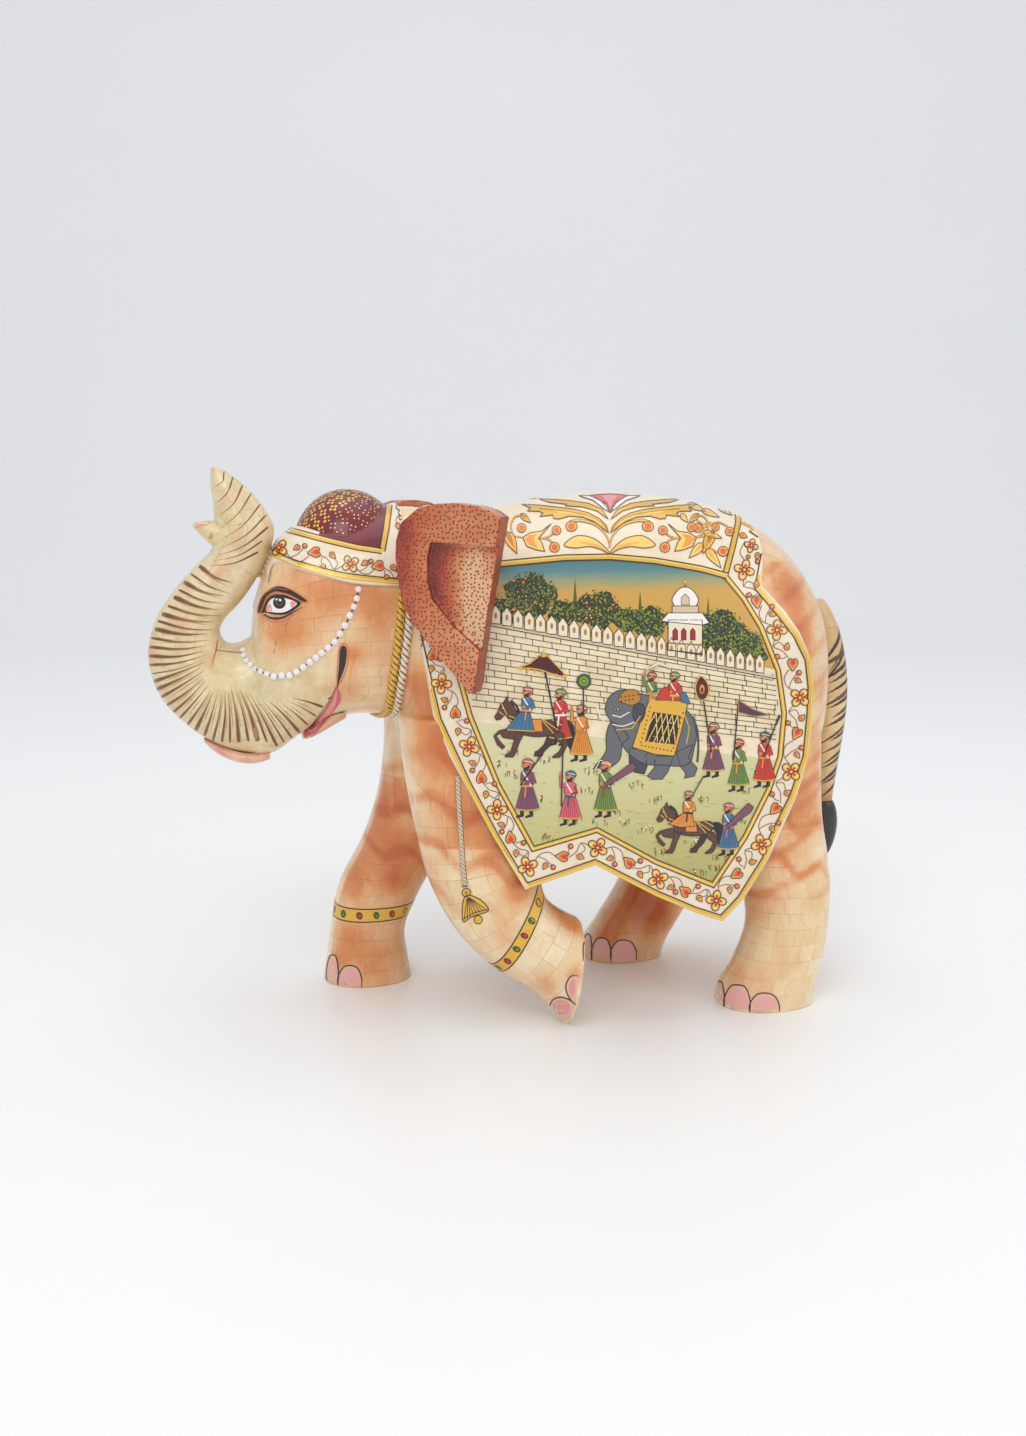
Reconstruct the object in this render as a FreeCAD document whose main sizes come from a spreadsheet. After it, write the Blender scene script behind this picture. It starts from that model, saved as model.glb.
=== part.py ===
import FreeCAD, Part
import math
import os
from FreeCAD import Vector, Placement, Rotation

# Carved and bone-veneered elephant figurine, millimetres.
# +Z up, origin at the bottom centre of the bounding box, the head faces -X.
# The elephant's left flank is the -Y side.

os.makedirs("parts", exist_ok=True)
doc = FreeCAD.newDocument("elephant_figurine")
sheet = doc.addObject("Spreadsheet::Sheet", "dimensions")
_row = [0]


def put(alias, value):
    _row[0] += 1
    cell = "A%d" % _row[0]
    sheet.set(cell, repr(float(value)))
    sheet.setAlias(cell, alias)


# ---------------------------------------------------------------- dimensions
single = {
    "veneer_thk": 2.0,          # bone tile thickness
    "section_power": 2.5,       # roundness of the body sections
    "joint_height": 165.0,      # top of the leg blocks
    "leg_inner_y": 18.0,        # inner face of the leg blocks
    "front_block_x": -2.0,      # rear face of the front leg blocks
    "hind_block_x": 78.0,       # front face of the hind leg blocks
    "neck_x": -66.0,            # neck joint plane
    "trunk_root_x": -142.0,     # trunk joint plane
    "dowel_r": 6.0,
    "dowel_len": 34.0,
    "dowel_gap": 0.05,
    "pin_r": 2.5,
    "pin_len": 16.0,
    "ear_thk": 11.0,
    "ear_recess": 3.5,
    "ear_flare_deg": 36.0,
    "ear_front_x": -77.0,
    "ear_front_y": 55.0,
    "tail_peg_r": 2.5,
    "tail_peg_len": 20.0,
    "cloth_thk": 1.8,
    "flap_thk": 3.2,
    "drape_half_width": 66.0,
    "dome_rx": 27.0,
    "dome_ry": 37.5,
    "dome_rz": 29.0,
    "dome_x": -98.5,
    "dome_z": 248.5,
    "cap_thk": 2.2,
    "foot_trim": 0.0,
}
for key, val in single.items():
    put(key, val)

# torso: x, bottom z, top z, half width
TORSO = [
    (-66.0, 152.0, 268.5, 43.0),
    (-58.0, 124.0, 268.5, 51.0),
    (-45.0, 106.0, 267.0, 58.0),
    (-20.0, 96.0, 267.0, 63.5),
    (10.0, 92.0, 270.5, 65.5),
    (45.0, 90.0, 274.3, 66.0),
    (80.0, 91.0, 271.5, 66.0),
    (108.0, 95.0, 266.0, 65.0),
    (130.0, 101.0, 257.0, 61.5),
    (147.0, 110.0, 243.0, 54.0),
    (160.0, 121.0, 226.0, 43.0),
    (168.5, 138.0, 207.0, 28.0),
    (172.5, 152.0, 191.0, 14.0),
]
# head: x, bottom z, top z, half width
HEAD = [
    (-142.0, 140.0, 203.0, 23.5),
    (-139.5, 140.5, 222.0, 27.0),
    (-135.5, 141.5, 234.5, 30.5),
    (-130.0, 144.0, 246.0, 33.5),
    (-122.0, 150.0, 254.5, 36.5),
    (-108.0, 158.5, 259.5, 40.0),
    (-90.0, 161.5, 263.0, 42.5),
    (-66.0, 159.0, 268.5, 43.0),
]
# trunk: inner edge x, z; outer edge x, z; half width
TRUNK = [
    (-142.0, 203.0, -142.0, 140.0, 23.5),
    (-148.0, 200.0, -158.0, 145.5, 22.5),
    (-153.5, 199.5, -176.0, 157.5, 20.5),
    (-157.0, 202.5, -190.0, 175.0, 18.5),
    (-158.0, 207.0, -194.3, 194.5, 17.0),
    (-155.5, 212.0, -191.0, 210.0, 16.0),
    (-147.5, 220.5, -181.0, 226.0, 15.0),
    (-138.6, 233.0, -169.5, 239.0, 14.5),
    (-132.5, 245.0, -160.8, 248.0, 14.0),
    (-129.0, 257.5, -159.2, 258.5, 13.5),
    (-133.6, 267.5, -159.3, 269.5, 11.5),
    (-142.0, 278.0, -160.4, 279.5, 8.5),
    (-153.0, 287.0, -159.8, 288.7, 3.5),
]
# legs, level sections: z, centre x, centre |y|, half length, half width
HIND_L = [
    (0.0, 127.0, 48.0, 27.0, 21.5),
    (8.0, 128.0, 48.0, 26.5, 21.5),
    (20.0, 133.5, 47.5, 24.8, 20.5),
    (43.0, 140.0, 46.0, 22.4, 20.0),
    (60.0, 139.5, 45.0, 24.0, 20.5),
    (80.0, 134.0, 44.0, 28.0, 21.5),
    (100.0, 127.0, 42.0, 32.0, 23.0),
    (130.0, 120.0, 40.0, 38.0, 24.5),
    (165.0, 116.0, 38.0, 42.0, 26.5),
]
HIND_R = [
    (0.0, 75.0, 46.0, 24.5, 21.5),
    (8.0, 77.0, 46.0, 25.0, 21.5),
    (20.0, 84.5, 46.0, 25.0, 20.5),
    (44.0, 98.5, 45.5, 24.5, 20.0),
    (60.0, 105.5, 45.0, 25.5, 20.5),
    (80.0, 111.5, 44.0, 29.0, 21.5),
    (100.0, 114.0, 42.0, 33.0, 23.0),
    (130.0, 116.0, 40.0, 38.0, 24.5),
    (165.0, 116.0, 38.0, 42.0, 26.5),
]
FRONT_R = [
    (0.0, -79.5, 43.0, 25.0, 21.5),
    (10.0, -79.5, 43.0, 23.5, 21.0),
    (28.0, -79.0, 43.0, 21.2, 20.0),
    (54.0, -71.0, 43.0, 24.2, 20.5),
    (82.0, -54.5, 42.0, 26.5, 21.5),
    (103.0, -45.0, 41.0, 28.5, 22.5),
    (138.0, -37.5, 38.0, 31.0, 24.0),
    (165.0, -36.5, 35.0, 32.5, 25.5),
]
# bent fore leg: centre x, z, travel direction x, z, half depth, centre |y|, half width
FRONT_L = [
    (-39.0, 165.0, 0.0, -1.0, 33.0, 35.0, 25.5),
    (-38.5, 140.0, 0.0, -1.0, 32.0, 38.0, 24.5),
    (-35.5, 110.0, 0.12, -0.99, 30.0, 41.0, 23.5),
    (-31.0, 86.0, 0.32, -0.95, 28.5, 43.0, 22.5),
    (-22.5, 65.0, 0.60, -0.80, 26.0, 44.0, 22.0),
    (-10.0, 47.5, 0.80, -0.60, 22.5, 45.5, 21.0),
    (5.5, 37.0, 0.85, -0.53, 22.2, 48.5, 21.0),
    (24.5, 24.6, 0.87, -0.50, 28.4, 52.5, 22.0),
]
# tail: x, z, direction x, z, half depth, half width
TAIL = [
    (171.0, 212.0, 0.55, -0.83, 7.5, 8.5),
    (178.5, 198.0, 0.42, -0.91, 8.5, 9.0),
    (183.0, 180.0, 0.16, -0.99, 9.5, 9.0),
    (184.8, 163.0, -0.02, -1.0, 9.5, 8.5),
    (184.0, 143.0, -0.10, -1.0, 8.8, 8.0),
    (182.3, 123.0, -0.08, -1.0, 7.5, 7.2),
    (181.3, 104.0, 0.00, -1.0, 6.2, 6.5),
]
TUFT = [
    (181.3, 104.0, 0.00, -1.0, 6.2, 6.5),
    (183.5, 95.0, 0.15, -1.0, 7.3, 7.5),
    (184.0, 85.0, 0.00, -1.0, 6.8, 7.0),
    (183.0, 74.0, -0.20, -0.98, 4.2, 4.8),
    (180.8, 66.0, -0.25, -0.97, 1.4, 1.6),
]
# side outline of the caparison: x, z
DRAPE = [
    (-47.0, 290.0), (-54.0, 262.0), (-63.0, 240.0), (-64.5, 214.8), (-58.0, 166.7), (-51.0, 147.0),
    (-44.9, 134.6), (-30.3, 105.8), (-14.2, 78.3), (22.6, 88.4), (55.9, 69.6), (77.0, 59.4),
    (92.9, 53.2), (103.8, 63.9), (117.4, 84.7), (122.5, 95.9), (134.0, 118.4), (142.0, 139.0),
    (145.0, 162.3), (145.0, 176.0), (142.5, 190.7), (135.5, 203.8), (126.5, 214.9), (113.5, 228.4),
    (118.5, 249.0), (125.0, 290.0),
]
# gold line between the side picture and the saddle top: x, z
SADDLE = [(-70.0, 241.0), (-26.5, 241.6), (5.2, 243.9), (28.8, 244.0), (52.2, 241.9), (78.0, 237.5), (94.0, 233.2), (140.0, 218.0)]
# ear outline and recess, local: u rearwards along the ear, z
EAR = [
    (1.4, 252.9), (4.6, 262.0), (13.2, 268.5), (23.0, 270.8), (33.0, 271.2), (44.5, 269.8),
    (52.0, 267.5), (56.3, 264.6), (55.2, 258.5), (53.8, 250.8), (51.5, 239.0), (49.5, 228.0),
    (46.8, 212.0), (45.2, 201.5), (43.2, 187.0), (41.5, 180.2), (38.5, 182.0), (33.9, 187.0), (24.6, 196.5), (17.2, 205.0),
    (9.4, 213.9), (4.2, 223.5), (2.1, 235.6), (1.0, 244.5),
]
RECESS = [
    (19.5, 252.6), (36.0, 251.8), (60.0, 250.5), (60.0, 225.0), (52.0, 199.5), (45.0, 201.5),
    (39.7, 206.0), (32.0, 212.0), (25.8, 218.6), (20.1, 225.2), (17.6, 234.0), (17.7, 244.5),
]
tables = {
    "torso": (TORSO, ("x", "low", "top", "wide")),
    "head": (HEAD, ("x", "low", "top", "wide")),
    "trunk": (TRUNK, ("ix", "iz", "ox", "oz", "wide")),
    "hindleft": (HIND_L, ("z", "cx", "cy", "long", "wide")),
    "hindright": (HIND_R, ("z", "cx", "cy", "long", "wide")),
    "foreright": (FRONT_R, ("z", "cx", "cy", "long", "wide")),
    "foreleft": (FRONT_L, ("cx", "cz", "dx", "dz", "deep", "cy", "wide")),
    "tail": (TAIL, ("cx", "cz", "dx", "dz", "deep", "wide")),
    "tuft": (TUFT, ("cx", "cz", "dx", "dz", "deep", "wide")),
    "drape": (DRAPE, ("x", "z")),
    "saddle": (SADDLE, ("x", "z")),
    "ear": (EAR, ("u", "z")),
    "recess": (RECESS, ("u", "z")),
}
for name, (rows, cols) in tables.items():
    for i, row in enumerate(rows):
        for col, val in zip(cols, row):
            put("%s_%s_n%02d" % (name, col, i), val)
doc.recompute()


def cell(alias):
    return float(getattr(sheet, alias))


def table(name):
    rows, cols = tables[name]
    return [tuple(cell("%s_%s_n%02d" % (name, c, i)) for c in cols) for i in range(len(rows))]


POWER = cell("section_power")
VEN = cell("veneer_thk")
JZ = cell("joint_height")
IY = cell("leg_inner_y")
FX = cell("front_block_x")
HX = cell("hind_block_x")
NECK = cell("neck_x")
ROOT = cell("trunk_root_x")
TORSO_T, HEAD_T, TRUNK_T = table("torso"), table("head"), table("trunk")


# ---------------------------------------------------------------- helpers
def sup(t, a, b, p):
    c, s = math.cos(t), math.sin(t)
    return (a * math.copysign(abs(c) ** (2.0 / p), c), b * math.copysign(abs(s) ** (2.0 / p), s))


def ring_points(centre, ua, ub, a, b, count=20, p=None):
    pts = []
    for i in range(count):
        t = 2 * math.pi * (i + 0.5) / count
        x, y = sup(t, a, b, p or POWER)
        pts.append(Vector(centre) + Vector(ua) * x + Vector(ub) * y)
    return pts


def skin(rings):
    # one smooth closed surface through strongly turning sections, capped flat at both ends
    surf = Part.BSplineSurface()
    surf.interpolate([r + [r[0]] for r in rings])
    u0, u1, v0, v1 = surf.bounds()
    faces = [surf.toShape()]
    for u in (u0, u1):
        faces.append(Part.Face(Part.Wire([surf.uIso(u).toShape()])))
    shell = Part.makeShell(faces)
    shell.sewShape()
    solid = Part.makeSolid(shell)
    if solid.Volume < 0:
        solid.reverse()
    return solid


def ring(centre, ua, ub, a, b, count=20, p=None):
    pts = ring_points(centre, ua, ub, a, b, count, p)
    curve = Part.BSplineCurve()
    curve.interpolate(Points=pts, PeriodicFlag=True)
    return Part.Wire([curve.toShape()])


def loft(wires):
    shape = Part.makeLoft(wires, True, False)
    if shape.Volume < 0:
        shape.reverse()
    return shape


def torso_loft(off):
    ws = []
    for i, (x, lo, hi, w) in enumerate(TORSO_T):
        xx = x
        if i == len(TORSO_T) - 1:
            xx = x - off
        elif i == len(TORSO_T) - 2:
            xx = x - 0.8 * off
        elif i == len(TORSO_T) - 3:
            xx = x - 0.4 * off
        k = off if i < len(TORSO_T) - 1 else min(off, 0.4 * w)
        ws.append(ring((xx, 0, (lo + hi) / 2), (0, 1, 0), (0, 0, 1), w - k, (hi - lo) / 2 - k, 24))
    return loft(ws)


def head_loft(off, reach=0.0):
    # reach lengthens the cavity past both joint planes so that it opens cleanly
    ws = []
    last = len(HEAD_T) - 1
    for i, (x, lo, hi, w) in enumerate(HEAD_T):
        x = x - reach if i == 0 else (x + reach if i == last else x)
        ws.append(ring((x, 0, (lo + hi) / 2), (0, 1, 0), (0, 0, 1), w - off, (hi - lo) / 2 - off, 24))
    return loft(ws)


def trunk_loft(off):
    ws = []
    last = len(TRUNK_T) - 1
    for i, (ix, iz, ox, oz, w) in enumerate(TRUNK_T):
        c = Vector((ix + ox) / 2, 0, (iz + oz) / 2)
        d = Vector(ix - ox, 0, iz - oz)
        a = d.Length / 2
        d.normalize()
        k = off
        if i == last:
            k = min(off, 0.55 * min(a, w))
            c = c + Vector(0.6, 0, -1.0).normalize() * off
        ws.append(ring_points(c, d, (0, 1, 0), a - k, w - k, 20, 2.15))
    return skin(ws)


def level_leg(name, side, off):
    ws = []
    for z, cx, cy, a, b in table(name):
        ws.append(ring((cx, side * cy, z), (1, 0, 0), (0, 1, 0), a - off, b - off, 20, 2.25))
    return loft(ws)


def bent_leg(off):
    ws = []
    for cx, cz, dx, dz, a, cy, b in table("foreleft"):
        n = Vector(-dz, 0, dx)
        n.normalize()
        ws.append(ring((cx, -cy, cz), n, (0, 1, 0), a - off, b - off, 20, 2.25))
    return loft(ws)


def path_loft(name):
    ws = []
    for cx, cz, dx, dz, a, b in table(name):
        n = Vector(-dz, 0, dx)
        n.normalize()
        ws.append(ring((cx, 0, cz), n, (0, 1, 0), a, b, 16, 2.1))
    return loft(ws)


def box(x0, x1, y0, y1, z0, z1):
    return Part.makeBox(x1 - x0, y1 - y0, z1 - z0, Vector(x0, y0, z0))


def largest(shape):
    solids = sorted(shape.Solids, key=lambda s: -s.Volume)
    return solids[0]


def feature(name, shape):
    obj = doc.addObject("Part::Feature", name)
    obj.Label = name
    obj.Shape = shape
    obj.Placement = Placement()
    return obj


nodes = []


def node(name, shape):
    obj = feature(name, shape)
    nodes.append(obj)
    return obj


# ---------------------------------------------------------------- dowels and pins
# Glued beech dowels across every joint plane: (centre, axis)
DG = cell("dowel_gap")
DR = cell("dowel_r")
DL = cell("dowel_len")
dowel_spots = {
    "neck_dowel": [((NECK, 0, 238.0), (1, 0, 0)), ((NECK, 0, 198.0), (1, 0, 0))],
    "trunk_dowel": [((ROOT, 0, 181.0), (1, 0, 0))],
    "fore_leg_dowel": [((-35.0, -38.0, JZ), (0, 0, 1)), ((-35.0, 38.0, JZ), (0, 0, 1))],
    "hind_leg_dowel": [((118.0, -40.0, JZ), (0, 0, 1)), ((118.0, 40.0, JZ), (0, 0, 1))],
}


def rot_to(axis):
    return Rotation(Vector(0, 0, 1), Vector(*axis))


def dowel_tools(gap):
    tools = []
    for spots in dowel_spots.values():
        for c, ax in spots:
            v = Vector(*ax)
            start = Vector(*c) - v * (DL / 2 + gap)
            tools.append(Part.makeCylinder(DR + gap, DL + 2 * gap, start, v))
    return tools


PR = cell("pin_r")
PL = cell("pin_len")
EFL = cell("ear_flare_deg")
EX, EY = cell("ear_front_x"), cell("ear_front_y")
ET, ER = cell("ear_thk"), cell("ear_recess")
EAR_PINS = ((10.0, 250.0), (10.0, 225.0))


def ear_line(side, u, z):
    f = math.radians(EFL)
    inward = Vector(math.sin(f), -side * math.cos(f), 0)
    start = Vector(EX + u * math.cos(f), side * (EY + u * math.sin(f)), z) + inward * ET
    return start, inward


pin_spots = [ear_line(side, u, z) for side in (-1, 1) for u, z in EAR_PINS]
TAIL_PEG = (Vector(162.0, 0, 196.0), Vector(1, 0, 0))
TPR, TPL = cell("tail_peg_r"), cell("tail_peg_len")
bores = dowel_tools(DG)
for start, way in pin_spots:
    bores.append(Part.makeCylinder(PR + DG, PL + 2 * DG, start + way * (4.0 - DG), way))
bores.append(Part.makeCylinder(TPR + DG, TPL + 2 * DG, TAIL_PEG[0] - TAIL_PEG[1] * DG, TAIL_PEG[1]))


def drilled(shape):
    for t in bores:
        if shape.BoundBox.intersect(t.BoundBox):
            shape = shape.cut(t)
    return largest(shape)


for name, spots in dowel_spots.items():
    group = []
    for i, (c, ax) in enumerate(spots):
        cyl = doc.addObject("Part::Cylinder", "%s_body_%d" % (name, i))
        cyl.setExpression("Radius", "dimensions.dowel_r")
        cyl.setExpression("Height", "dimensions.dowel_len")
        v = Vector(*ax)
        cyl.Placement = Placement(Vector(*c) - v * (DL / 2), rot_to(ax))
        group.append(cyl)
    if len(group) == 1:
        group[0].Label = name
        nodes.append(group[0])
    else:
        comp = doc.addObject("Part::Compound", name)
        comp.Links = group
        comp.Label = name
        nodes.append(comp)

pins = []
for i, (start, way) in enumerate(pin_spots):
    cyl = doc.addObject("Part::Cylinder", "ear_pin_body_%d" % i)
    cyl.setExpression("Radius", "dimensions.pin_r")
    cyl.setExpression("Height", "dimensions.pin_len")
    cyl.Placement = Placement(start + way * 4.0, rot_to(tuple(way)))
    pins.append(cyl)
comp = doc.addObject("Part::Compound", "ear_pin")
comp.Links = pins
comp.Label = "ear_pin"
nodes.append(comp)
peg = doc.addObject("Part::Cylinder", "tail_peg")
peg.setExpression("Radius", "dimensions.tail_peg_r")
peg.setExpression("Height", "dimensions.tail_peg_len")
peg.Placement = Placement(TAIL_PEG[0], rot_to((1, 0, 0)))
peg.Label = "tail_peg"
nodes.append(peg)

# ---------------------------------------------------------------- torso
torso_out = torso_loft(0.0)
torso_in = torso_loft(VEN)
leg_zone = []
for side in (-1, 1):
    y0, y1 = (IY, 90.0) if side > 0 else (-90.0, -IY)
    leg_zone.append(box(-120.0, FX, y0, y1, -10.0, JZ))
    leg_zone.append(box(HX, 200.0, y0, y1, -10.0, JZ))
core = torso_in
shell = torso_out.cut(torso_in)
for z in leg_zone:
    core = core.cut(z)
    shell = shell.cut(z)
node("torso_core", drilled(core))
shell_solids = sorted(shell.Solids, key=lambda s: -s.Volume)
half_l = shell_solids[0].common(box(-200, 200, -100, 0, 0, 400))
half_r = shell_solids[0].common(box(-200, 200, 0, 100, 0, 400))
node("torso_veneer_left", drilled(largest(half_l)))
node("torso_veneer_right", drilled(largest(half_r)))

# ---------------------------------------------------------------- legs
zone = {
    ("fore", -1): box(-140.0, FX, -90.0, -IY, -1.0, JZ),
    ("fore", 1): box(-140.0, FX, IY, 90.0, -1.0, JZ),
    ("hind", -1): box(HX, 200.0, -90.0, -IY, -1.0, JZ),
    ("hind", 1): box(HX, 200.0, IY, 90.0, -1.0, JZ),
}


def clip_upper(shape, key):
    # only the block above the belly line is trimmed against the torso block
    pair, side = key
    low_top = 92.0
    y0, y1 = (-5.0, IY) if side > 0 else (-IY, 5.0)
    shape = shape.cut(box(-200, 220, y0, y1, low_top, JZ + 5))
    if pair == "fore":
        shape = shape.cut(box(FX, 60.0, -95, 95, low_top, JZ + 5))
    else:
        shape = shape.cut(box(20.0, HX, -95, 95, low_top, JZ + 5))
    return largest(shape)


sole_plane = Part.makeBox(80, 200, 200, Vector(0, -140, -80))
sole_plane.Placement = Placement(Vector(11.0, 0, 0), Rotation(Vector(0, 1, 0), 8.6))
legs = {}
for label, key, fn in (
    ("fore_leg_left", ("fore", -1), lambda o: bent_leg(o)),
    ("fore_leg_right", ("fore", 1), lambda o: level_leg("foreright", 1, o)),
    ("hind_leg_left", ("hind", -1), lambda o: level_leg("hindleft", -1, o)),
    ("hind_leg_right", ("hind", 1), lambda o: level_leg("hindright", 1, o)),
):
    out, inn = fn(0.0), fn(VEN)
    ven = out.cut(inn)
    if label == "fore_leg_left":
        inn = inn.cut(sole_plane)
        ven = ven.cut(sole_plane)
        floor = box(-100, 100, -100, 100, -60, 0)
        inn = inn.cut(floor)
        ven = ven.cut(floor)
    node(label + "_core", drilled(clip_upper(inn, key)))
    node(label + "_veneer", clip_upper(ven, key))
    legs[label] = out

# ---------------------------------------------------------------- head and trunk
head_out, head_cavity = head_loft(0.0), head_loft(VEN, 1.5)
head_in = largest(head_cavity.common(box(ROOT, NECK, -90, 90, 100, 300)))
trunk_out, trunk_in = trunk_loft(0.0), trunk_loft(VEN)
node("head_core", drilled(head_in))
node("head_veneer", largest(head_out.cut(head_cavity)))
node("trunk_core", drilled(trunk_in))
node("trunk_veneer", largest(trunk_out.cut(trunk_in)))

# lower jaw: wedge glued under the cheek
jaw = loft([
    ring((-97.0, 0, 167.0), (0, 1, 0), (0, 0, 1), 24.0, 8.5, 16, 2.2),
    ring((-105.0, 0, 161.5), (0, 1, 0), (0, 0, 1), 21.0, 7.5, 16, 2.2),
    ring((-112.0, 0, 155.5), (0, 1, 0), (0, 0, 1), 16.0, 5.5, 16, 2.2),
    ring((-117.5, 0, 150.8), (0, 1, 0), (0, 0, 1), 8.0, 2.5, 16, 2.2),
])
node("lower_jaw", largest(jaw.cut(head_out)))

# lip under the trunk root
lip = loft([
    ring((-135.5, 0, 143.0), (0, 1, 0), (0, 0, 1), 15.0, 4.0, 16, 2.2),
    ring((-146.0, 0, 141.0), (0, 1, 0), (0, 0, 1), 14.0, 4.0, 16, 2.2),
    ring((-157.0, 0, 143.5), (0, 1, 0), (0, 0, 1), 11.0, 3.6, 16, 2.2),
    ring((-168.0, 0, 150.0), (0, 1, 0), (0, 0, 1), 5.0, 1.4, 16, 2.2),
])
node("trunk_lip", largest(lip.cut(head_out).cut(trunk_out)))

# lower finger of the trunk tip
finger = loft([
    ring((-152.5, 0, 253.5), (0, 1, 0), Vector(0.40, 0, 0.92), 10.0, 8.0, 14, 2.1),
    ring((-160.0, 0, 256.2), (0, 1, 0), Vector(0.35, 0, 0.94), 8.5, 6.0, 14, 2.1),
    ring((-166.0, 0, 258.6), (0, 1, 0), Vector(0.30, 0, 0.95), 5.5, 3.2, 14, 2.1),
    ring((-169.6, 0, 259.8), (0, 1, 0), Vector(0.30, 0, 0.95), 2.2, 1.0, 14, 2.1),
])
node("trunk_finger", largest(finger.cut(trunk_out)))

# ---------------------------------------------------------------- headcloth and dome
CT = cell("cap_thk")


def interp(rows, x, col):
    for (a, b) in zip(rows, rows[1:]):
        if a[0] <= x <= b[0]:
            f = (x - a[0]) / (b[0] - a[0])
            return a[col] * (1 - f) + b[col] * f
    return rows[0][col] if x < rows[0][0] else rows[-1][col]


def smooth_interp(rows, x, col):
    # cubic through the table, matching the lofted skin closely
    n = len(rows)
    for i in range(n - 1):
        if rows[i][0] <= x <= rows[i + 1][0]:
            x0, x1 = rows[i][0], rows[i + 1][0]
            y0, y1 = rows[i][col], rows[i + 1][col]

            def slope(j):
                if j == 0:
                    return (rows[1][col] - rows[0][col]) / (rows[1][0] - rows[0][0])
                if j == n - 1:
                    return (rows[-1][col] - rows[-2][col]) / (rows[-1][0] - rows[-2][0])
                return (rows[j + 1][col] - rows[j - 1][col]) / (rows[j + 1][0] - rows[j - 1][0])
            h = x1 - x0
            f = (x - x0) / h
            m0, m1 = slope(i) * h, slope(i + 1) * h
            return (2 * f ** 3 - 3 * f ** 2 + 1) * y0 + (f ** 3 - 2 * f ** 2 + f) * m0 + (-2 * f ** 3 + 3 * f ** 2) * y1 + (f ** 3 - f ** 2) * m1
    return rows[0][col] if x < rows[0][0] else rows[-1][col]


def arch(rows, x, z_edge, gap, thk, count=13):
    # strip over the top of the section at x, from edge height z_edge on one side to the other
    lo, hi, w = (smooth_interp(rows, x, c) for c in (1, 2, 3))
    zc, hz = (lo + hi) / 2, (hi - lo) / 2
    s = max(-0.99, min(0.99, (z_edge - zc) / hz))
    t0 = math.asin(math.copysign(abs(s) ** (POWER / 2.0), s))
    inner, outer = [], []
    for i in range(count):
        t = t0 + (math.pi - 2 * t0) * i / (count - 1)
        y, z = sup(t, w + gap, hz + gap, POWER)
        inner.append(Vector(x, y, zc + z))
        y, z = sup(t, w + gap + thk, hz + gap + thk, POWER)
        outer.append(Vector(x, y, zc + z))
    c1, c2 = Part.BSplineCurve(), Part.BSplineCurve()
    c1.interpolate(Points=inner)
    c2.interpolate(Points=list(reversed(outer)))
    e1, e2 = c1.toShape(), c2.toShape()
    return Part.Wire([e1, Part.makeLine(inner[-1], outer[-1]), e2, Part.makeLine(outer[0], inner[0])])


cap_rows = [(-134.5, 243.5), (-129.0, 241.8), (-122.0, 239.0), (-112.0, 235.8), (-100.0, 232.6), (-86.0, 230.6), (-67.5, 229.5)]
cap_wires = []
for x, ze in cap_rows:
    hi = smooth_interp(HEAD_T, x, 2)
    cap_wires.append(arch(HEAD_T, x, min(ze, hi - 6.0), 0.05, CT))
headcloth = loft(cap_wires)
dome = Part.makeSphere(1.0)
mat = FreeCAD.Matrix()
mat.scale(cell("dome_rx"), cell("dome_ry"), cell("dome_rz"))
dome = dome.transformGeometry(mat)
dome.translate(Vector(cell("dome_x"), 0, cell("dome_z")))
dome_top = dome.cut(head_out).cut(headcloth)
node("headcloth", largest(headcloth))
dome_solids = [s for s in dome_top.Solids if s.CenterOfMass.z > 262]
node("crown_dome", max(dome_solids, key=lambda s: s.Volume))

# ---------------------------------------------------------------- caparison
CL, FL, DW = cell("cloth_thk"), cell("flap_thk"), cell("drape_half_width")
DRAPE_T, SADDLE_T = table("drape"), table("saddle")
XS = [-66.0, -58.0, -45.0, -20.0, 10.0, 45.0, 80.0, 108.0, 130.0, 147.0]


def side_strip(x, side):
    lo, hi, w = (smooth_interp(TORSO_T, x, c) for c in (1, 2, 3))
    zc, hz = (lo + hi) / 2, (hi - lo) / 2
    base = max(w, min(DW, w + 7.0))
    inner, outer = [], []
    ts = [1.30, 1.10, 0.90, 0.70, 0.52, 0.36, 0.20]
    for t in ts:
        y, z = sup(t, w + 0.05, hz + 0.05, POWER)
        inner.append((y, zc + z))
        y, z = sup(t, w + CL, hz + CL, POWER)
        outer.append((y, zc + z))
    y1, z1 = inner[-1]
    for k in range(1, 6):
        f = k / 5.0
        z = z1 * (1 - f) + 45.0 * f
        blend = w + (base - w) * min(1.0, 1.25 * f)
        inner.append((blend + 0.05, z))
        outer.append((blend + CL + (FL - CL) * f, z))
    pi = [Vector(x, side * y, z) for y, z in inner]
    po = [Vector(x, side * y, z) for y, z in reversed(outer)]
    c1, c2 = Part.BSplineCurve(), Part.BSplineCurve()
    c1.interpolate(Points=pi)
    c2.interpolate(Points=po)
    return Part.Wire([c1.toShape(), Part.makeLine(pi[-1], po[0]), c2.toShape(), Part.makeLine(po[-1], pi[0])])


def prism(pts, y0, y1):
    vs = [Vector(x, y0, z) for x, z in pts]
    face = Part.Face(Part.makePolygon(vs + [vs[0]]))
    return face.extrude(Vector(0, y1 - y0, 0))


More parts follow.
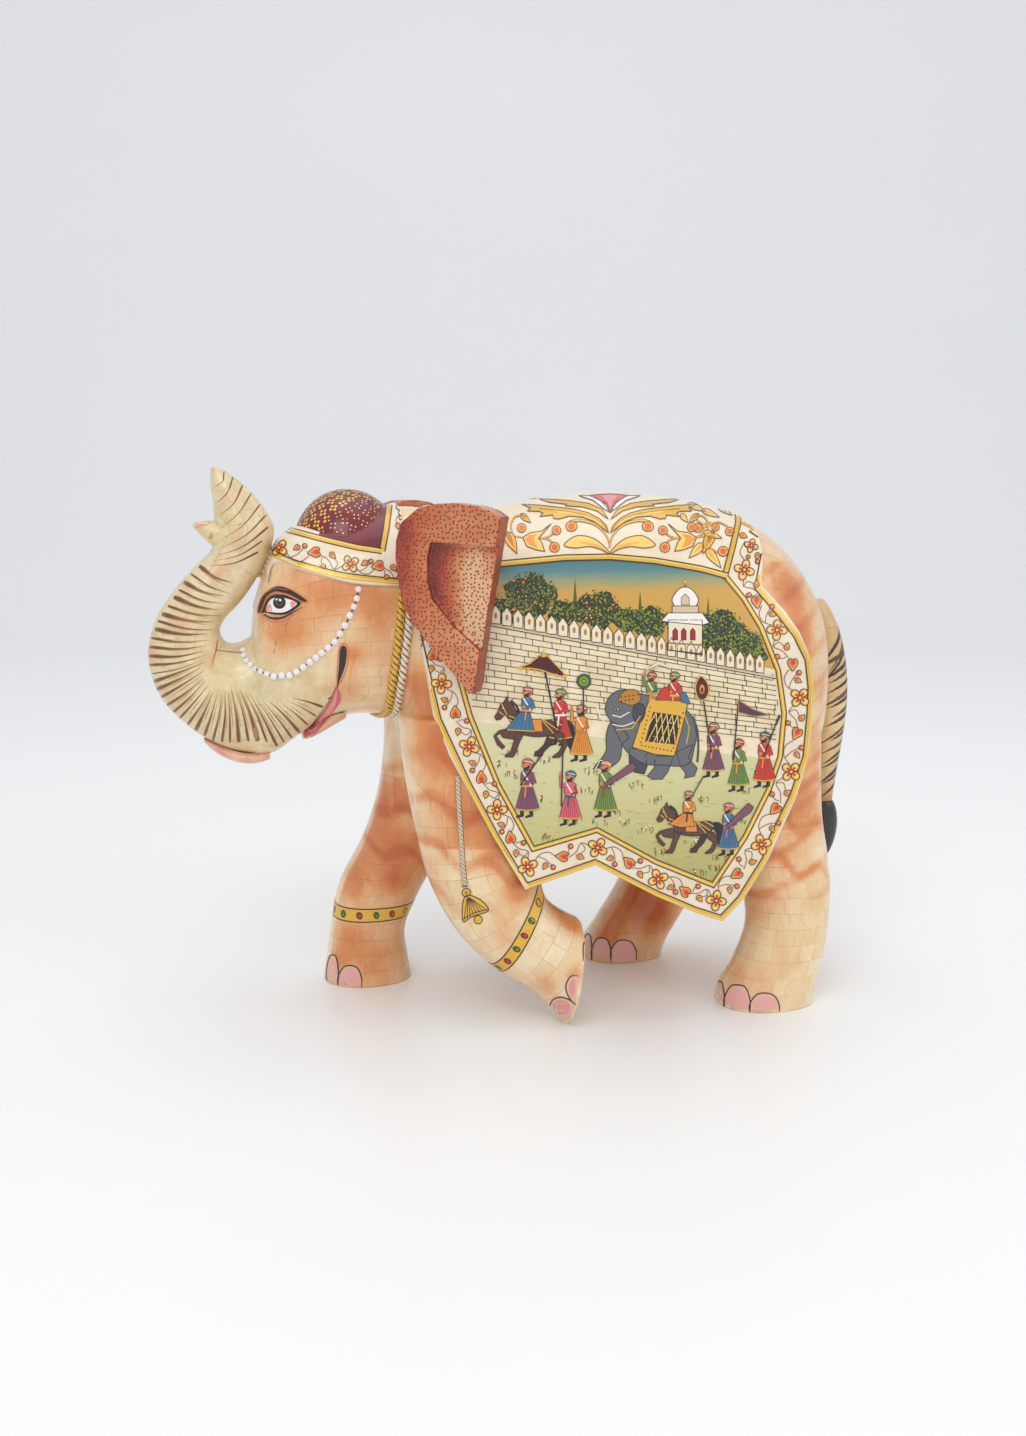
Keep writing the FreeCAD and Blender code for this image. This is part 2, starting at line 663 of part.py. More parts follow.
above = [(x, z) for x, z in SADDLE_T] + [(140.0, 330.0), (-80.0, 330.0)]
below = [(x, z) for x, z in SADDLE_T] + [(200.0, 230.0), (200.0, -10.0), (-80.0, -10.0)]
for label, side in (("caparison_left", -1), ("caparison_right", 1)):
    strip = loft([side_strip(x, side) for x in XS])
    y0, y1 = (-120.0, -5.0) if side < 0 else (5.0, 120.0)
    s = strip.common(prism(DRAPE_T, y0, y1)).common(prism(below, y0, y1))
    node(label, largest(s))
TOPX = [-50.0, -35.0, -20.0, 10.0, 45.0, 80.0, 108.0, 127.0]
top_strip = loft([arch(TORSO_T, x, 225.0 if x < 90 else 215.0, 0.05, CL - 0.05, 17) for x in TOPX])
top = top_strip.common(prism(DRAPE_T, -120.0, 120.0)).common(prism(above, -120.0, 120.0))
node("saddle_cloth", largest(top))

# ---------------------------------------------------------------- ears
def ear_sketch(body, name, pts, support_offset):
    sk = body.newObject("Sketcher::SketchObject", name)
    plane = [f for f in body.Origin.OriginFeatures if f.Role == "XZ_Plane"][0]
    sk.AttachmentSupport = [(plane, "")]
    sk.MapMode = "FlatFace"
    sk.AttachmentOffset = Placement(Vector(0, 0, support_offset), Rotation())
    vs = [Vector(u, z, 0) for u, z in pts]
    n = len(vs)
    for i in range(n):
        sk.addGeometry(Part.LineSegment(vs[i], vs[(i + 1) % n]), False)
    return sk


ears = {}
for label, side in (("ear_left", -1), ("ear_right", 1)):
    body = doc.addObject("PartDesign::Body", label)
    body.Label = label
    mirror = 1.0
    pts = [(u, z) for u, z in table("ear")]
    rec = [(u, z) for u, z in table("recess")]
    sk = ear_sketch(body, label + "_outline", pts, 0.0)
    pad = body.newObject("PartDesign::Pad", label + "_plate")
    pad.Profile = sk
    pad.setExpression("Length", "dimensions.ear_thk")
    pad.Reversed = side < 0
    doc.recompute()
    face_at = 0.0
    sk2 = ear_sketch(body, label + "_recess_outline", rec, 0.0)
    cutf = body.newObject("PartDesign::Pocket", label + "_recess")
    cutf.Profile = sk2
    cutf.setExpression("Length", "dimensions.ear_recess")
    doc.recompute()
    v0 = pad.Shape.Volume
    cutf.Reversed = False
    doc.recompute()
    if abs(body.Shape.Volume - v0) < 1.0:
        cutf.Reversed = True
        doc.recompute()
    body.Placement = Placement(Vector(EX, side * EY, 0), Rotation(Vector(0, 0, 1), side * EFL))
    doc.recompute()
    ears[label] = body
    nodes.append(body)

# ear roots: turned bosses between the ear plate and the neck
for label, side in (("ear_root_left", -1), ("ear_root_right", 1)):
    shaped = []
    for u, z in EAR_PINS:
        start, way = ear_line(side, u, z)
        boss = Part.makeCylinder(7.0, 26.0, start, way)
        boss = boss.cut(head_out).cut(torso_out).cut(headcloth)
        near = sorted(boss.Solids, key=lambda q: q.CenterOfMass.distanceToPoint(start))[0]
        shaped.append(drilled(near))
    node(label, Part.makeCompound(shaped))

# ---------------------------------------------------------------- tail
tail = path_loft("tail").cut(torso_out)
node("tail", drilled(largest(tail)))
node("tail_tuft", path_loft("tuft"))

doc.recompute()
# ---------------------------------------------------------------- checks and export
bad = []
for obj in doc.Objects:
    if any(s in ("Invalid", "Error") for s in obj.State):
        bad.append((obj.Name, list(obj.State)))
for obj in nodes:
    sh = obj.Shape
    if sh.isNull() or not sh.isValid() or len(sh.Solids) < 1:
        bad.append((obj.Label, "shape", sh.isNull(), (not sh.isNull()) and sh.isValid(), len(sh.Solids)))
total = FreeCAD.BoundBox()
for obj in nodes:
    total.add(obj.Shape.BoundBox)
    print("%-24s solids %d  vol %10.1f  bb %s" % (obj.Label, len(obj.Shape.Solids), obj.Shape.Volume, obj.Shape.BoundBox))
print("TOTAL", total)
if bad:
    print("BAD", bad)
    raise SystemExit("invalid shapes: %r" % bad)
for obj in nodes:
    obj.Shape.exportStep(os.path.join("parts", obj.Label + ".step"))
print("written", len(nodes))
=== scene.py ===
import bpy, bmesh, math, random
import numpy as np
from mathutils import Vector, Matrix
from mathutils.bvhtree import BVHTree
from mathutils.geometry import delaunay_2d_cdt, tessellate_polygon


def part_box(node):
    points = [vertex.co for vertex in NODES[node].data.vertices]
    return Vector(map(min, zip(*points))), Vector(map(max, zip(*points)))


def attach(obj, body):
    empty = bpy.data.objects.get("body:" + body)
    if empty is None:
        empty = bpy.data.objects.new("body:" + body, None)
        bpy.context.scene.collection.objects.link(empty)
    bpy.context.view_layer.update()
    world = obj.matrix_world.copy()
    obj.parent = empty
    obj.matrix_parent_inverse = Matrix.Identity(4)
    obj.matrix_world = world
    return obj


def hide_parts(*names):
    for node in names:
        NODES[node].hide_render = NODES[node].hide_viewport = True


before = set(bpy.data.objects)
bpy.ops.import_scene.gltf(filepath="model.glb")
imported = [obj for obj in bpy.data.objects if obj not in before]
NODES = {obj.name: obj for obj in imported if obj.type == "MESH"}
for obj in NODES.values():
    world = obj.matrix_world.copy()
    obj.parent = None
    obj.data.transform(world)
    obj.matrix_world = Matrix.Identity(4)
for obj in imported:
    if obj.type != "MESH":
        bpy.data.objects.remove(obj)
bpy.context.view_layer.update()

MM = 0.001
rnd = random.Random(7)
coll = bpy.context.scene.collection

# ------------------------------------------------------------------ camera
# The main view: 14 degrees round towards the head, 9.5 degrees above level.
# Flat drawings below use a 1026 x 1436 sheet in this view, 1400 units to the eye.
AZ, EL = math.radians(14.0), math.radians(9.5)
EYE = Vector((-0.185342, -0.729225, 0.280159))
BACK = Vector((-math.sin(AZ) * math.cos(EL), -math.cos(AZ) * math.cos(EL), math.sin(EL)))
RIGHT = Vector((math.cos(AZ), -math.sin(AZ), 0.0))
UP = BACK.cross(RIGHT)
cam_data = bpy.data.cameras.new("cam")
cam_data.sensor_width = 36.0
cam_data.lens = 1400.0 / 1436.0 * 36.0
cam_data.clip_start, cam_data.clip_end = 0.01, 50.0
cam = bpy.data.objects.new("cam", cam_data)
rot = Matrix((RIGHT, UP, BACK)).transposed()
cam.matrix_world = Matrix.Translation(EYE) @ rot.to_4x4()
coll.objects.link(cam)
bpy.context.scene.camera = cam


def sheet_ray(px, py):
    d = -BACK + RIGHT * ((px - 513.0) / 1400.0) + UP * ((718.0 - py) / 1400.0)
    return EYE, d.normalized()


# ------------------------------------------------------------------ colours
def lin(r, g, b, s=1.0):
    out = []
    for c in (r, g, b):
        c = min(255.0, max(0.0, c * s)) / 255.0
        out.append(c / 12.92 if c <= 0.04045 else ((c + 0.055) / 1.055) ** 2.4)
    return (out[0], out[1], out[2], 1.0)


def new_mat(name):
    m = bpy.data.materials.new(name)
    m.use_nodes = True
    nt = m.node_tree
    nt.nodes.clear()
    out = nt.nodes.new("ShaderNodeOutputMaterial")
    b = nt.nodes.new("ShaderNodeBsdfPrincipled")
    nt.links.new(b.outputs[0], out.inputs[0])
    return m, nt, b


def N(nt, kind, **kw):
    n = nt.nodes.new(kind)
    for k, v in kw.items():
        setattr(n, k, v)
    return n


def noise(nt, vec, scale, detail=3.0, rough=0.55, dist=0.0):
    n = N(nt, "ShaderNodeTexNoise")
    n.inputs["Scale"].default_value = scale
    n.inputs["Detail"].default_value = detail
    n.inputs["Roughness"].default_value = rough
    n.inputs["Distortion"].default_value = dist
    nt.links.new(vec, n.inputs["Vector"])
    return n.outputs["Fac"]


def ramp(nt, fac, stops):
    r = N(nt, "ShaderNodeValToRGB")
    e = r.color_ramp.elements
    e[0].position, e[0].color = stops[0][0], stops[0][1]
    e[1].position, e[1].color = stops[-1][0], stops[-1][1]
    for p, c in stops[1:-1]:
        x = e.new(p)
        x.color = c
    nt.links.new(fac, r.inputs[0])
    return r.outputs[0]


def g(v):
    return (v, v, v, 1.0)


def mapr(nt, fac, a, b, c, d, clamp=True):
    m = N(nt, "ShaderNodeMapRange")
    m.clamp = clamp
    m.inputs[1].default_value, m.inputs[2].default_value = a, b
    m.inputs[3].default_value, m.inputs[4].default_value = c, d
    nt.links.new(fac, m.inputs[0])
    return m.outputs[0]


def mix(nt, fac, a, b, mode="MIX"):
    m = N(nt, "ShaderNodeMix", data_type="RGBA", blend_type=mode)
    for s, v in ((0, fac), (6, a), (7, b)):
        if isinstance(v, (int, float, tuple)):
            m.inputs[s].default_value = v
        else:
            nt.links.new(v, m.inputs[s])
    return m.outputs[2]


def math_n(nt, op, a, b=0.0):
    m = N(nt, "ShaderNodeMath", operation=op)
    for s, v in ((0, a), (1, b)):
        if isinstance(v, (int, float)):
            m.inputs[s].default_value = v
        else:
            nt.links.new(v, m.inputs[s])
    return m.outputs[0]


def varnish(b, coat=0.35, rough=0.32, ior=1.5):
    b.inputs["Roughness"].default_value = rough
    b.inputs["IOR"].default_value = ior
    b.inputs["Coat Weight"].default_value = coat
    b.inputs["Coat Roughness"].default_value = 0.09


def bump(nt, b, height, strength=0.3, dist=0.0006):
    n = N(nt, "ShaderNodeBump")
    n.inputs["Strength"].default_value = strength
    n.inputs["Distance"].default_value = dist
    nt.links.new(height, n.inputs["Height"])
    nt.links.new(n.outputs[0], b.inputs["Normal"])


def obj_vec(nt):
    return N(nt, "ShaderNodeTexCoord").outputs["Object"]


def skin_material(name, base, light, wash_and_shade, deep_wash_and_shade, seam, tile=(0.0135, 0.0088)):
    """Bone tiles under varnish, with warm brushed washes and painted shade where the per-vertex value says."""
    m, nt, b = new_mat(name)
    vec = obj_vec(nt)
    at = N(nt, "ShaderNodeAttribute", attribute_name="tile")
    wob = N(nt, "ShaderNodeTexNoise")
    wob.inputs["Scale"].default_value = 60.0
    nt.links.new(vec, wob.inputs["Vector"])
    sub = N(nt, "ShaderNodeVectorMath", operation="SUBTRACT")
    nt.links.new(wob.outputs["Color"], sub.inputs[0])
    sub.inputs[1].default_value = (0.5, 0.5, 0.5)
    sc = N(nt, "ShaderNodeVectorMath", operation="SCALE")
    nt.links.new(sub.outputs[0], sc.inputs[0])
    sc.inputs["Scale"].default_value = 0.0016
    add = N(nt, "ShaderNodeVectorMath", operation="ADD")
    nt.links.new(at.outputs["Vector"], add.inputs[0])
    nt.links.new(sc.outputs[0], add.inputs[1])
    br = N(nt, "ShaderNodeTexBrick", offset=0.43, squash=0.82, squash_frequency=3)
    br.inputs["Scale"].default_value = 1.0
    br.inputs["Brick Width"].default_value = tile[0]
    br.inputs["Row Height"].default_value = tile[1]
    br.inputs["Mortar Size"].default_value = 0.00022
    br.inputs["Mortar Smooth"].default_value = 0.6
    br.inputs["Color1"].default_value = base
    br.inputs["Color2"].default_value = light
    br.inputs["Mortar"].default_value = g(0.0)
    br.inputs["Bias"].default_value = -0.1
    nt.links.new(add.outputs[0], br.inputs["Vector"])
    br2 = N(nt, "ShaderNodeTexBrick", offset=0.43, squash=0.82, squash_frequency=3)
    for k in ("Scale", "Brick Width", "Row Height", "Mortar Size", "Mortar Smooth", "Bias"):
        br2.inputs[k].default_value = br.inputs[k].default_value
    br2.inputs["Mortar"].default_value = base
    br2.inputs["Color1"].default_value = base
    br2.inputs["Color2"].default_value = light
    nt.links.new(add.outputs[0], br2.inputs["Vector"])
    col = br2.outputs["Color"]
    kh = N(nt, "ShaderNodeAttribute", attribute_name="khaki")
    khaki = mix(nt, br2.outputs["Fac"], lin(216, 196, 148), lin(216, 196, 148))
    khv = noise(nt, vec, 120.0, 3.0, 0.6)
    khaki = mix(nt, mapr(nt, khv, 0.35, 0.65, 0.0, 1.0), lin(205, 182, 132), lin(228, 212, 170))
    col = mix(nt, math_n(nt, "MULTIPLY", kh.outputs["Fac"], 0.8), col, khaki)
    cloud = noise(nt, vec, 38.0, 4.0, 0.6, 0.5)
    col = mix(nt, math_n(nt, "MULTIPLY", mapr(nt, cloud, 0.35, 0.7, 0.0, 0.45), mapr(nt, kh.outputs["Fac"], 0, 1, 1, 0.3)), col, light)
    # brushed washes, and painted shade where the per-vertex value carries it
    wa = N(nt, "ShaderNodeAttribute", attribute_name="wash_and_shade")
    mp = N(nt, "ShaderNodeMapping")
    mp.inputs["Scale"].default_value = (1.0, 1.0, 0.45)
    nt.links.new(vec, mp.inputs["Vector"])
    n1 = noise(nt, mp.outputs[0], 80.0, 5.0, 0.66, 1.6)
    n2 = noise(nt, mp.outputs[0], 260.0, 3.0, 0.6, 0.6)
    tot = math_n(nt, "ADD", wa.outputs["Fac"], math_n(nt, "MULTIPLY", math_n(nt, "SUBTRACT", n1, 0.5), 0.55))
    tot = math_n(nt, "ADD", tot, math_n(nt, "MULTIPLY", math_n(nt, "SUBTRACT", n2, 0.5), 0.30))
    col = mix(nt, mapr(nt, tot, 0.05, 0.88, 0.0, 0.90), col, wash_and_shade)
    col = mix(nt, mapr(nt, tot, 0.80, 1.55, 0.0, 0.85), col, deep_wash_and_shade)
    # seams
    seam_var = mapr(nt, noise(nt, vec, 30.0, 2.0), 0.38, 0.66, 0.05, 0.46)
    col = mix(nt, math_n(nt, "MULTIPLY", br.outputs["Fac"], seam_var), col, seam)
    speck = noise(nt, vec, 900.0, 2.0, 0.6)
    col = mix(nt, mapr(nt, speck, 0.60, 0.75, 0.0, 0.18), col, seam)
    nt.links.new(col, b.inputs["Base Color"])
    varnish(b, 0.40, 0.34)
    nt.links.new(mapr(nt, n2, 0.3, 0.7, 0.28, 0.42), b.inputs["Roughness"])
    h = math_n(nt, "SUBTRACT", math_n(nt, "MULTIPLY", cloud, 0.6), math_n(nt, "MULTIPLY", br.outputs["Fac"], 0.35))
    bump(nt, b, h, 0.35, 0.0005)
    return m


BONE = lin(235, 208, 158)
BONE_L = lin(243, 227, 190)
# the two warm colours below are the brushed washes and also the painted shade on the belly and the insides of the legs
WASH_AND_SHADE = lin(218, 136, 70)
DEEP_WASH_AND_SHADE = lin(190, 88, 36)
SEAM = lin(140, 88, 48)
M_SKIN = skin_material("bone_washed_and_shaded", BONE, BONE_L, WASH_AND_SHADE, DEEP_WASH_AND_SHADE, SEAM)
M_TRUNK = skin_material("bone_trunk", lin(214, 194, 146), lin(227, 212, 171), lin(188, 142, 84), lin(140, 88, 48), lin(126, 90, 55), (0.0120, 0.0085))
M_TAIL = skin_material("bone_tail", lin(216, 184, 128), lin(226, 202, 152), lin(190, 140, 82), lin(120, 72, 38), lin(126, 90, 55), (0.03, 0.02))


def paint(name, rgb, rough=0.36, metallic=0.0, coat=0.35, grain=700.0, bump_s=0.12):
    """Opaque brushed colour under varnish: one plain colour, with brush texture in gloss and relief."""
    m, nt, b = new_mat(name)
    vec = obj_vec(nt)
    b.inputs["Base Color"].default_value = lin(*rgb)
    varnish(b, coat, rough)
    b.inputs["Metallic"].default_value = metallic
    n = noise(nt, vec, grain, 3.0, 0.6)
    nt.links.new(mapr(nt, n, 0.3, 0.7, rough - 0.08, rough + 0.1), b.inputs["Roughness"])
    bump(nt, b, n, bump_s, 0.0002)
    return m


def cloth_ground(name, base, light, shade):
    """Painted cream ground: brushed ivory paint with faint staining."""
    m, nt, b = new_mat(name)
    vec = obj_vec(nt)
    n1 = noise(nt, vec, 45.0, 5.0, 0.6, 0.8)
    n2 = noise(nt, vec, 420.0, 3.0, 0.6)
    col = mix(nt, mapr(nt, n1, 0.35, 0.65, 0.0, 1.0), base, light)
    col = mix(nt, mapr(nt, n2, 0.58, 0.8, 0.0, 0.35), col, shade)
    nt.links.new(col, b.inputs["Base Color"])
    varnish(b, 0.35, 0.34)
    nt.links.new(mapr(nt, n2, 0.3, 0.7, 0.27, 0.42), b.inputs["Roughness"])
    bump(nt, b, n1, 0.2, 0.0004)
    return m


M_CREAM = cloth_ground("cream_ground", lin(232, 213, 182), lin(240, 226, 202), lin(206, 176, 138))


def two_tone(name, a, b_, scale, stretch=(1, 1, 1), extra=None, rough=0.36):
    m, nt, b = new_mat(name)
    vec = obj_vec(nt)
    mp = N(nt, "ShaderNodeMapping")
    mp.inputs["Scale"].default_value = stretch
    nt.links.new(vec, mp.inputs["Vector"])
    n1 = noise(nt, mp.outputs[0], scale, 5.0, 0.62, 0.6)
    col = mix(nt, mapr(nt, n1, 0.36, 0.64, 0.0, 1.0), a, b_)
    if extra:
        n2 = noise(nt, vec, extra[1], 3.0, 0.6)
        col = mix(nt, mapr(nt, n2, extra[2], extra[2] + 0.08, 0.0, 1.0), col, extra[0])
    nt.links.new(col, b.inputs["Base Color"])
    varnish(b, 0.35, rough)
    nt.links.new(mapr(nt, n1, 0.3, 0.7, rough - 0.07, rough + 0.08), b.inputs["Roughness"])
    bump(nt, b, n1, 0.15, 0.0002)
    return m


def zramp_mat(name, z0, z1, stops, noise_amt=0.15, scale=60.0, stretch=(1, 1, 5)):
    """A wash that changes with height, with streaky brushwork."""
    m, nt, b = new_mat(name)
    vec = obj_vec(nt)
    sep = N(nt, "ShaderNodeSeparateXYZ")
    nt.links.new(vec, sep.inputs[0])
    t = mapr(nt, sep.outputs[2], z0, z1, 0.0, 1.0)
    mp = N(nt, "ShaderNodeMapping")
    mp.inputs["Scale"].default_value = stretch
    nt.links.new(vec, mp.inputs["Vector"])
    n1 = noise(nt, mp.outputs[0], scale, 5.0, 0.62, 0.5)
    t2 = math_n(nt, "ADD", t, math_n(nt, "MULTIPLY", math_n(nt, "SUBTRACT", n1, 0.5), noise_amt))
    nt.links.new(ramp(nt, t2, stops), b.inputs["Base Color"])
    varnish(b, 0.35, 0.36)
    nt.links.new(mapr(nt, n1, 0.3, 0.7, 0.29, 0.44), b.inputs["Roughness"])
    bump(nt, b, n1, 0.12, 0.0002)
    return m


def wood(name, a, b_):
    m, nt, b = new_mat(name)
    vec = obj_vec(nt)
    mp = N(nt, "ShaderNodeMapping")
    mp.inputs["Scale"].default_value = (1, 9, 9)
    nt.links.new(vec, mp.inputs["Vector"])
    n1 = noise(nt, mp.outputs[0], 45.0, 6.0, 0.65, 1.5)
    nt.links.new(mix(nt, mapr(nt, n1, 0.35, 0.65, 0, 1), a, b_), b.inputs["Base Color"])
    nt.links.new(mapr(nt, n1, 0.3, 0.7, 0.5, 0.7), b.inputs["Roughness"])
    bump(nt, b, n1, 0.3, 0.0005)
    return m


M_WOOD = wood("mango_wood", lin(150, 104, 66), lin(186, 138, 92))
M_DOWEL = wood("beech_dowel", lin(196, 160, 118), lin(216, 184, 142))

P = {}
for key, rgb, kw in (
    ("gold", (226, 178, 62), dict(metallic=0.25, rough=0.34)),
    ("gold_lo", (186, 128, 38), dict(metallic=0.2, rough=0.36)),
    # pale gold: painted highlight along the gilt bands and on the dome dots, plain pale gold in the painted howdah
    # lattice
    ("gold_pale_and_highlight", (246, 214, 116), dict(metallic=0.2, rough=0.34)),
    ("line", (66, 36, 34), {}),
    ("black", (26, 20, 20), {}),
    ("vine", (128, 82, 78), {}),
    ("petal", (240, 176, 72), {}),
    ("petal_hi", (246, 205, 110), {}),
    ("red", (205, 48, 30), {}),
    ("crimson", (158, 30, 44), {}),
    ("orange", (226, 104, 42), {}),
    ("orange_hi", (240, 150, 66), {}),
    ("white", (240, 234, 226), {}),
    ("cream", (236, 220, 190), {}),
    ("cream_lo", (212, 190, 158), {}),
    ("pink", (226, 150, 140), {}),
    ("rose", (214, 92, 106), {}),
    ("nail", (228, 178, 160), {}),
    ("nail_lo", (232, 168, 164), {}),
    ("brown", (104, 66, 42), {}),
    ("fold", (132, 92, 56), {}),
    ("umber", (70, 44, 30), {}),
    ("tan", (168, 122, 78), {}),
    ("skin", (206, 134, 84), {}),
    ("beard", (40, 26, 24), {}),
    ("horse", (88, 52, 42), {}),
    ("horse_lo", (60, 34, 30), {}),
    ("grey", (98, 100, 104), {}),
    ("grey_lo", (62, 64, 70), {}),
    ("grey_hi", (140, 140, 142), {}),
    ("blue", (62, 112, 146), {}),
    ("blue_lo", (36, 74, 108), {}),
    ("green", (104, 136, 56), {}),
    ("green_lo", (62, 94, 38), {}),
    ("leaf", (150, 152, 44), {}),
    ("leaf_dk", (44, 58, 34), {}),
    ("plum", (122, 72, 96), {}),
    ("plum_lo", (84, 46, 68), {}),
    ("amber", (222, 140, 46), {}),
    ("amber_lo", (182, 98, 30), {}),
    ("red_lo", (150, 28, 26), {}),
    ("maroon_lo", (78, 12, 24), {}),
    ("emerald", (34, 104, 58), {}),
    ("teal", (74, 124, 124), {}),
    ("brick", (232, 212, 172), {}),
    ("brick_sh", (206, 178, 134), {}),
    ("terra", (190, 96, 60), {}),
    ("halo", (214, 112, 56), {}),
    ("ochre", (203, 152, 63), {}),
):
    P[key] = paint("paint_" + key, rgb, **kw)
KEYS = list(P)
M_SKY = zramp_mat("sky_wash", 0.222, 0.247, [(0.0, lin(206, 158, 70)), (0.25, lin(200, 156, 76)), (0.42, lin(146, 152, 112)), (0.6, lin(84, 130, 134)), (1.0, lin(60, 108, 120))], 0.22, 40.0, (1, 1, 6))
M_GROUND = zramp_mat("meadow_wash", 0.075, 0.165, [(0.0, lin(172, 164, 92)), (0.35, lin(196, 188, 124)), (0.7, lin(210, 204, 152)), (1.0, lin(216, 208, 164))], 0.35, 50.0, (1, 1, 7))
M_TREE = two_tone("tree_green", lin(22, 32, 20), lin(50, 64, 26), 700.0, extra=(lin(160, 158, 50), 1100.0, 0.585))
M_WALL = two_tone("wall_cream", lin(226, 204, 162), lin(240, 224, 190), 80.0)
P["sky"], P["meadow"], P["tree"], P["wall"] = M_SKY, M_GROUND, M_TREE, M_WALL
P["ivory"] = M_CREAM
P["maroon"] = two_tone("maroon_ground", lin(134, 18, 40), lin(98, 10, 30), 60.0)
KEYS = list(P)

# ------------------------------------------------------------------ carved body skins
def sup_ring(centre, ua, ub, a, b, count, p):
    t = 2 * np.pi * (np.arange(count) + 0.5) / count
    c, s = np.cos(t), np.sin(t)
    x = a * np.sign(c) * np.abs(c) ** (2.0 / p)
    y = b * np.sign(s) * np.abs(s) ** (2.0 / p)
    return np.array(centre)[None] + x[:, None] * np.array(ua)[None] + y[:, None] * np.array(ub)[None]


def dense(rows, per=6):
    """Rows of section values, filled in with a smooth cubic through them."""
    r = np.array(rows, float)
    d = np.r_[0, np.cumsum(np.linalg.norm(np.diff(r, axis=0), axis=1))]
    n = len(r)
    h = np.diff(d)
    sl = np.diff(r, axis=0) / h[:, None]
    m = np.zeros_like(r)
    m[1:-1] = (sl[:-1] * h[1:, None] + sl[1:] * h[:-1, None]) / (h[1:] + h[:-1])[:, None]
    m[0], m[-1] = sl[0], sl[-1]
    out = []
    for i in range(n - 1):
        for k in range(per + (i == n - 2)):
            t = k / per
            a, b = (1 + 2 * t) * (1 - t) ** 2, t * (1 - t) ** 2
            c, e = t * t * (3 - 2 * t), t * t * (t - 1)
            out.append(a * r[i] + b * h[i] * m[i] + c * r[i + 1] + e * h[i] * m[i + 1])
    return np.array(out)


TORSO = [(-66, 152, 268.5, 43), (-58, 124, 268.5, 51), (-45, 106, 267, 58), (-20, 96, 267, 63.5), (10, 92, 270.5, 65.5), (45, 90, 274.3, 66), (80, 91, 271.5, 66), (108, 95, 266, 65), (130, 101, 257, 61.5), (147, 110, 243, 54), (160, 121, 226, 43), (168.5, 138, 207, 28), (172.5, 152, 191, 14)]
HEAD = [(-142, 140, 203, 23.5), (-139.5, 140.5, 222, 27), (-135.5, 141.5, 234.5, 30.5), (-130, 144, 246, 33.5), (-122, 150, 254.5, 36.5), (-108, 158.5, 259.5, 40), (-90, 161.5, 263, 42.5), (-66, 159, 268.5, 43)]
TRUNK = [(-142, 203, -142, 140, 23.5), (-148, 200, -158, 145.5, 22.5), (-153.5, 199.5, -176, 157.5, 20.5), (-157, 202.5, -190, 175, 18.5), (-158, 207, -194.3, 194.5, 17), (-155.5, 212, -191, 210, 16), (-147.5, 220.5, -181, 226, 15), (-138.6, 233, -169.5, 239, 14.5), (-132.5, 245, -160.8, 248, 14), (-129, 257.5, -159.2, 258.5, 13.5), (-133.6, 267.5, -159.3, 269.5, 11.5), (-142, 278, -160.4, 279.5, 8.5), (-153, 287, -159.8, 288.7, 3.5)]
HIND_L = [(0, 127, 48, 27, 21.5), (8, 128, 48, 26.5, 21.5), (20, 133.5, 47.5, 24.8, 20.5), (43, 140, 46, 22.4, 20), (60, 139.5, 45, 24, 20.5), (80, 134, 44, 28, 21.5), (100, 127, 42, 32, 23), (130, 120, 40, 38, 24.5), (165, 116, 38, 42, 26.5)]
HIND_R = [(0, 75, 46, 24.5, 21.5), (8, 77, 46, 25, 21.5), (20, 84.5, 46, 25, 20.5), (44, 98.5, 45.5, 24.5, 20), (60, 105.5, 45, 25.5, 20.5), (80, 111.5, 44, 29, 21.5), (100, 114, 42, 33, 23), (130, 116, 40, 38, 24.5), (165, 116, 38, 42, 26.5)]
FORE_R = [(0, -79.5, 43, 25, 21.5), (10, -79.5, 43, 23.5, 21), (28, -79, 43, 21.2, 20), (54, -71, 43, 24.2, 20.5), (82, -54.5, 42, 26.5, 21.5), (103, -45, 41, 28.5, 22.5), (138, -37.5, 38, 31, 24), (165, -36.5, 35, 32.5, 25.5)]
FORE_L = [(-39, 165, 0, -1, 33, 35, 25.5), (-38.5, 140, 0, -1, 32, 38, 24.5), (-35.5, 110, .12, -.99, 30, 41, 23.5), (-31, 86, .32, -.95, 28.5, 43, 22.5), (-22.5, 65, .6, -.8, 26, 44, 22), (-10, 47.5, .8, -.6, 22.5, 45.5, 21), (5.5, 37, .85, -.53, 22.2, 48.5, 21), (24.5, 24.6, .87, -.5, 28.4, 52.5, 22)]


def tube(rings):
    """Closed tube from equal rings, with fanned ends."""
    n, m = len(rings), len(rings[0])
    v = np.concatenate(rings)
    f = []
    for i in range(n - 1):
        for j in range(m):
            k = (j + 1) % m
            f.append((i * m + j, i * m + k, (i + 1) * m + k, (i + 1) * m + j))
    c0, c1 = v[:m].mean(0), v[-m:].mean(0)
    v = np.vstack([v, c0, c1])
    a, b = len(v) - 2, len(v) - 1
    for j in range(m):
        k = (j + 1) % m
        f.append((a, k, j))
        f.append((b, (n - 1) * m + j, (n - 1) * m + k))
    return v, f


def make_mesh(name, v, f, scale=MM):
    me = bpy.data.meshes.new(name)
    me.from_pydata([tuple(x) for x in (np.array(v) * scale)], [], f)
    me.update()
    bm = bmesh.new()
    bm.from_mesh(me)
    bmesh.ops.recalc_face_normals(bm, faces=bm.faces)
    bm.to_mesh(me)
    bm.free()
    return me


def add_obj(name, me, mats=()):
    o = bpy.data.objects.new(name, me)
    for m in mats:
        me.materials.append(m)
    coll.objects.link(o)
    return o


def band(rows, count=88, p=2.5):
    return [sup_ring((x, 0, (lo + hi) / 2), (0, 1, 0), (0, 0, 1), hw, (hi - lo) / 2, count, p) for x, lo, hi, hw in dense(rows)]


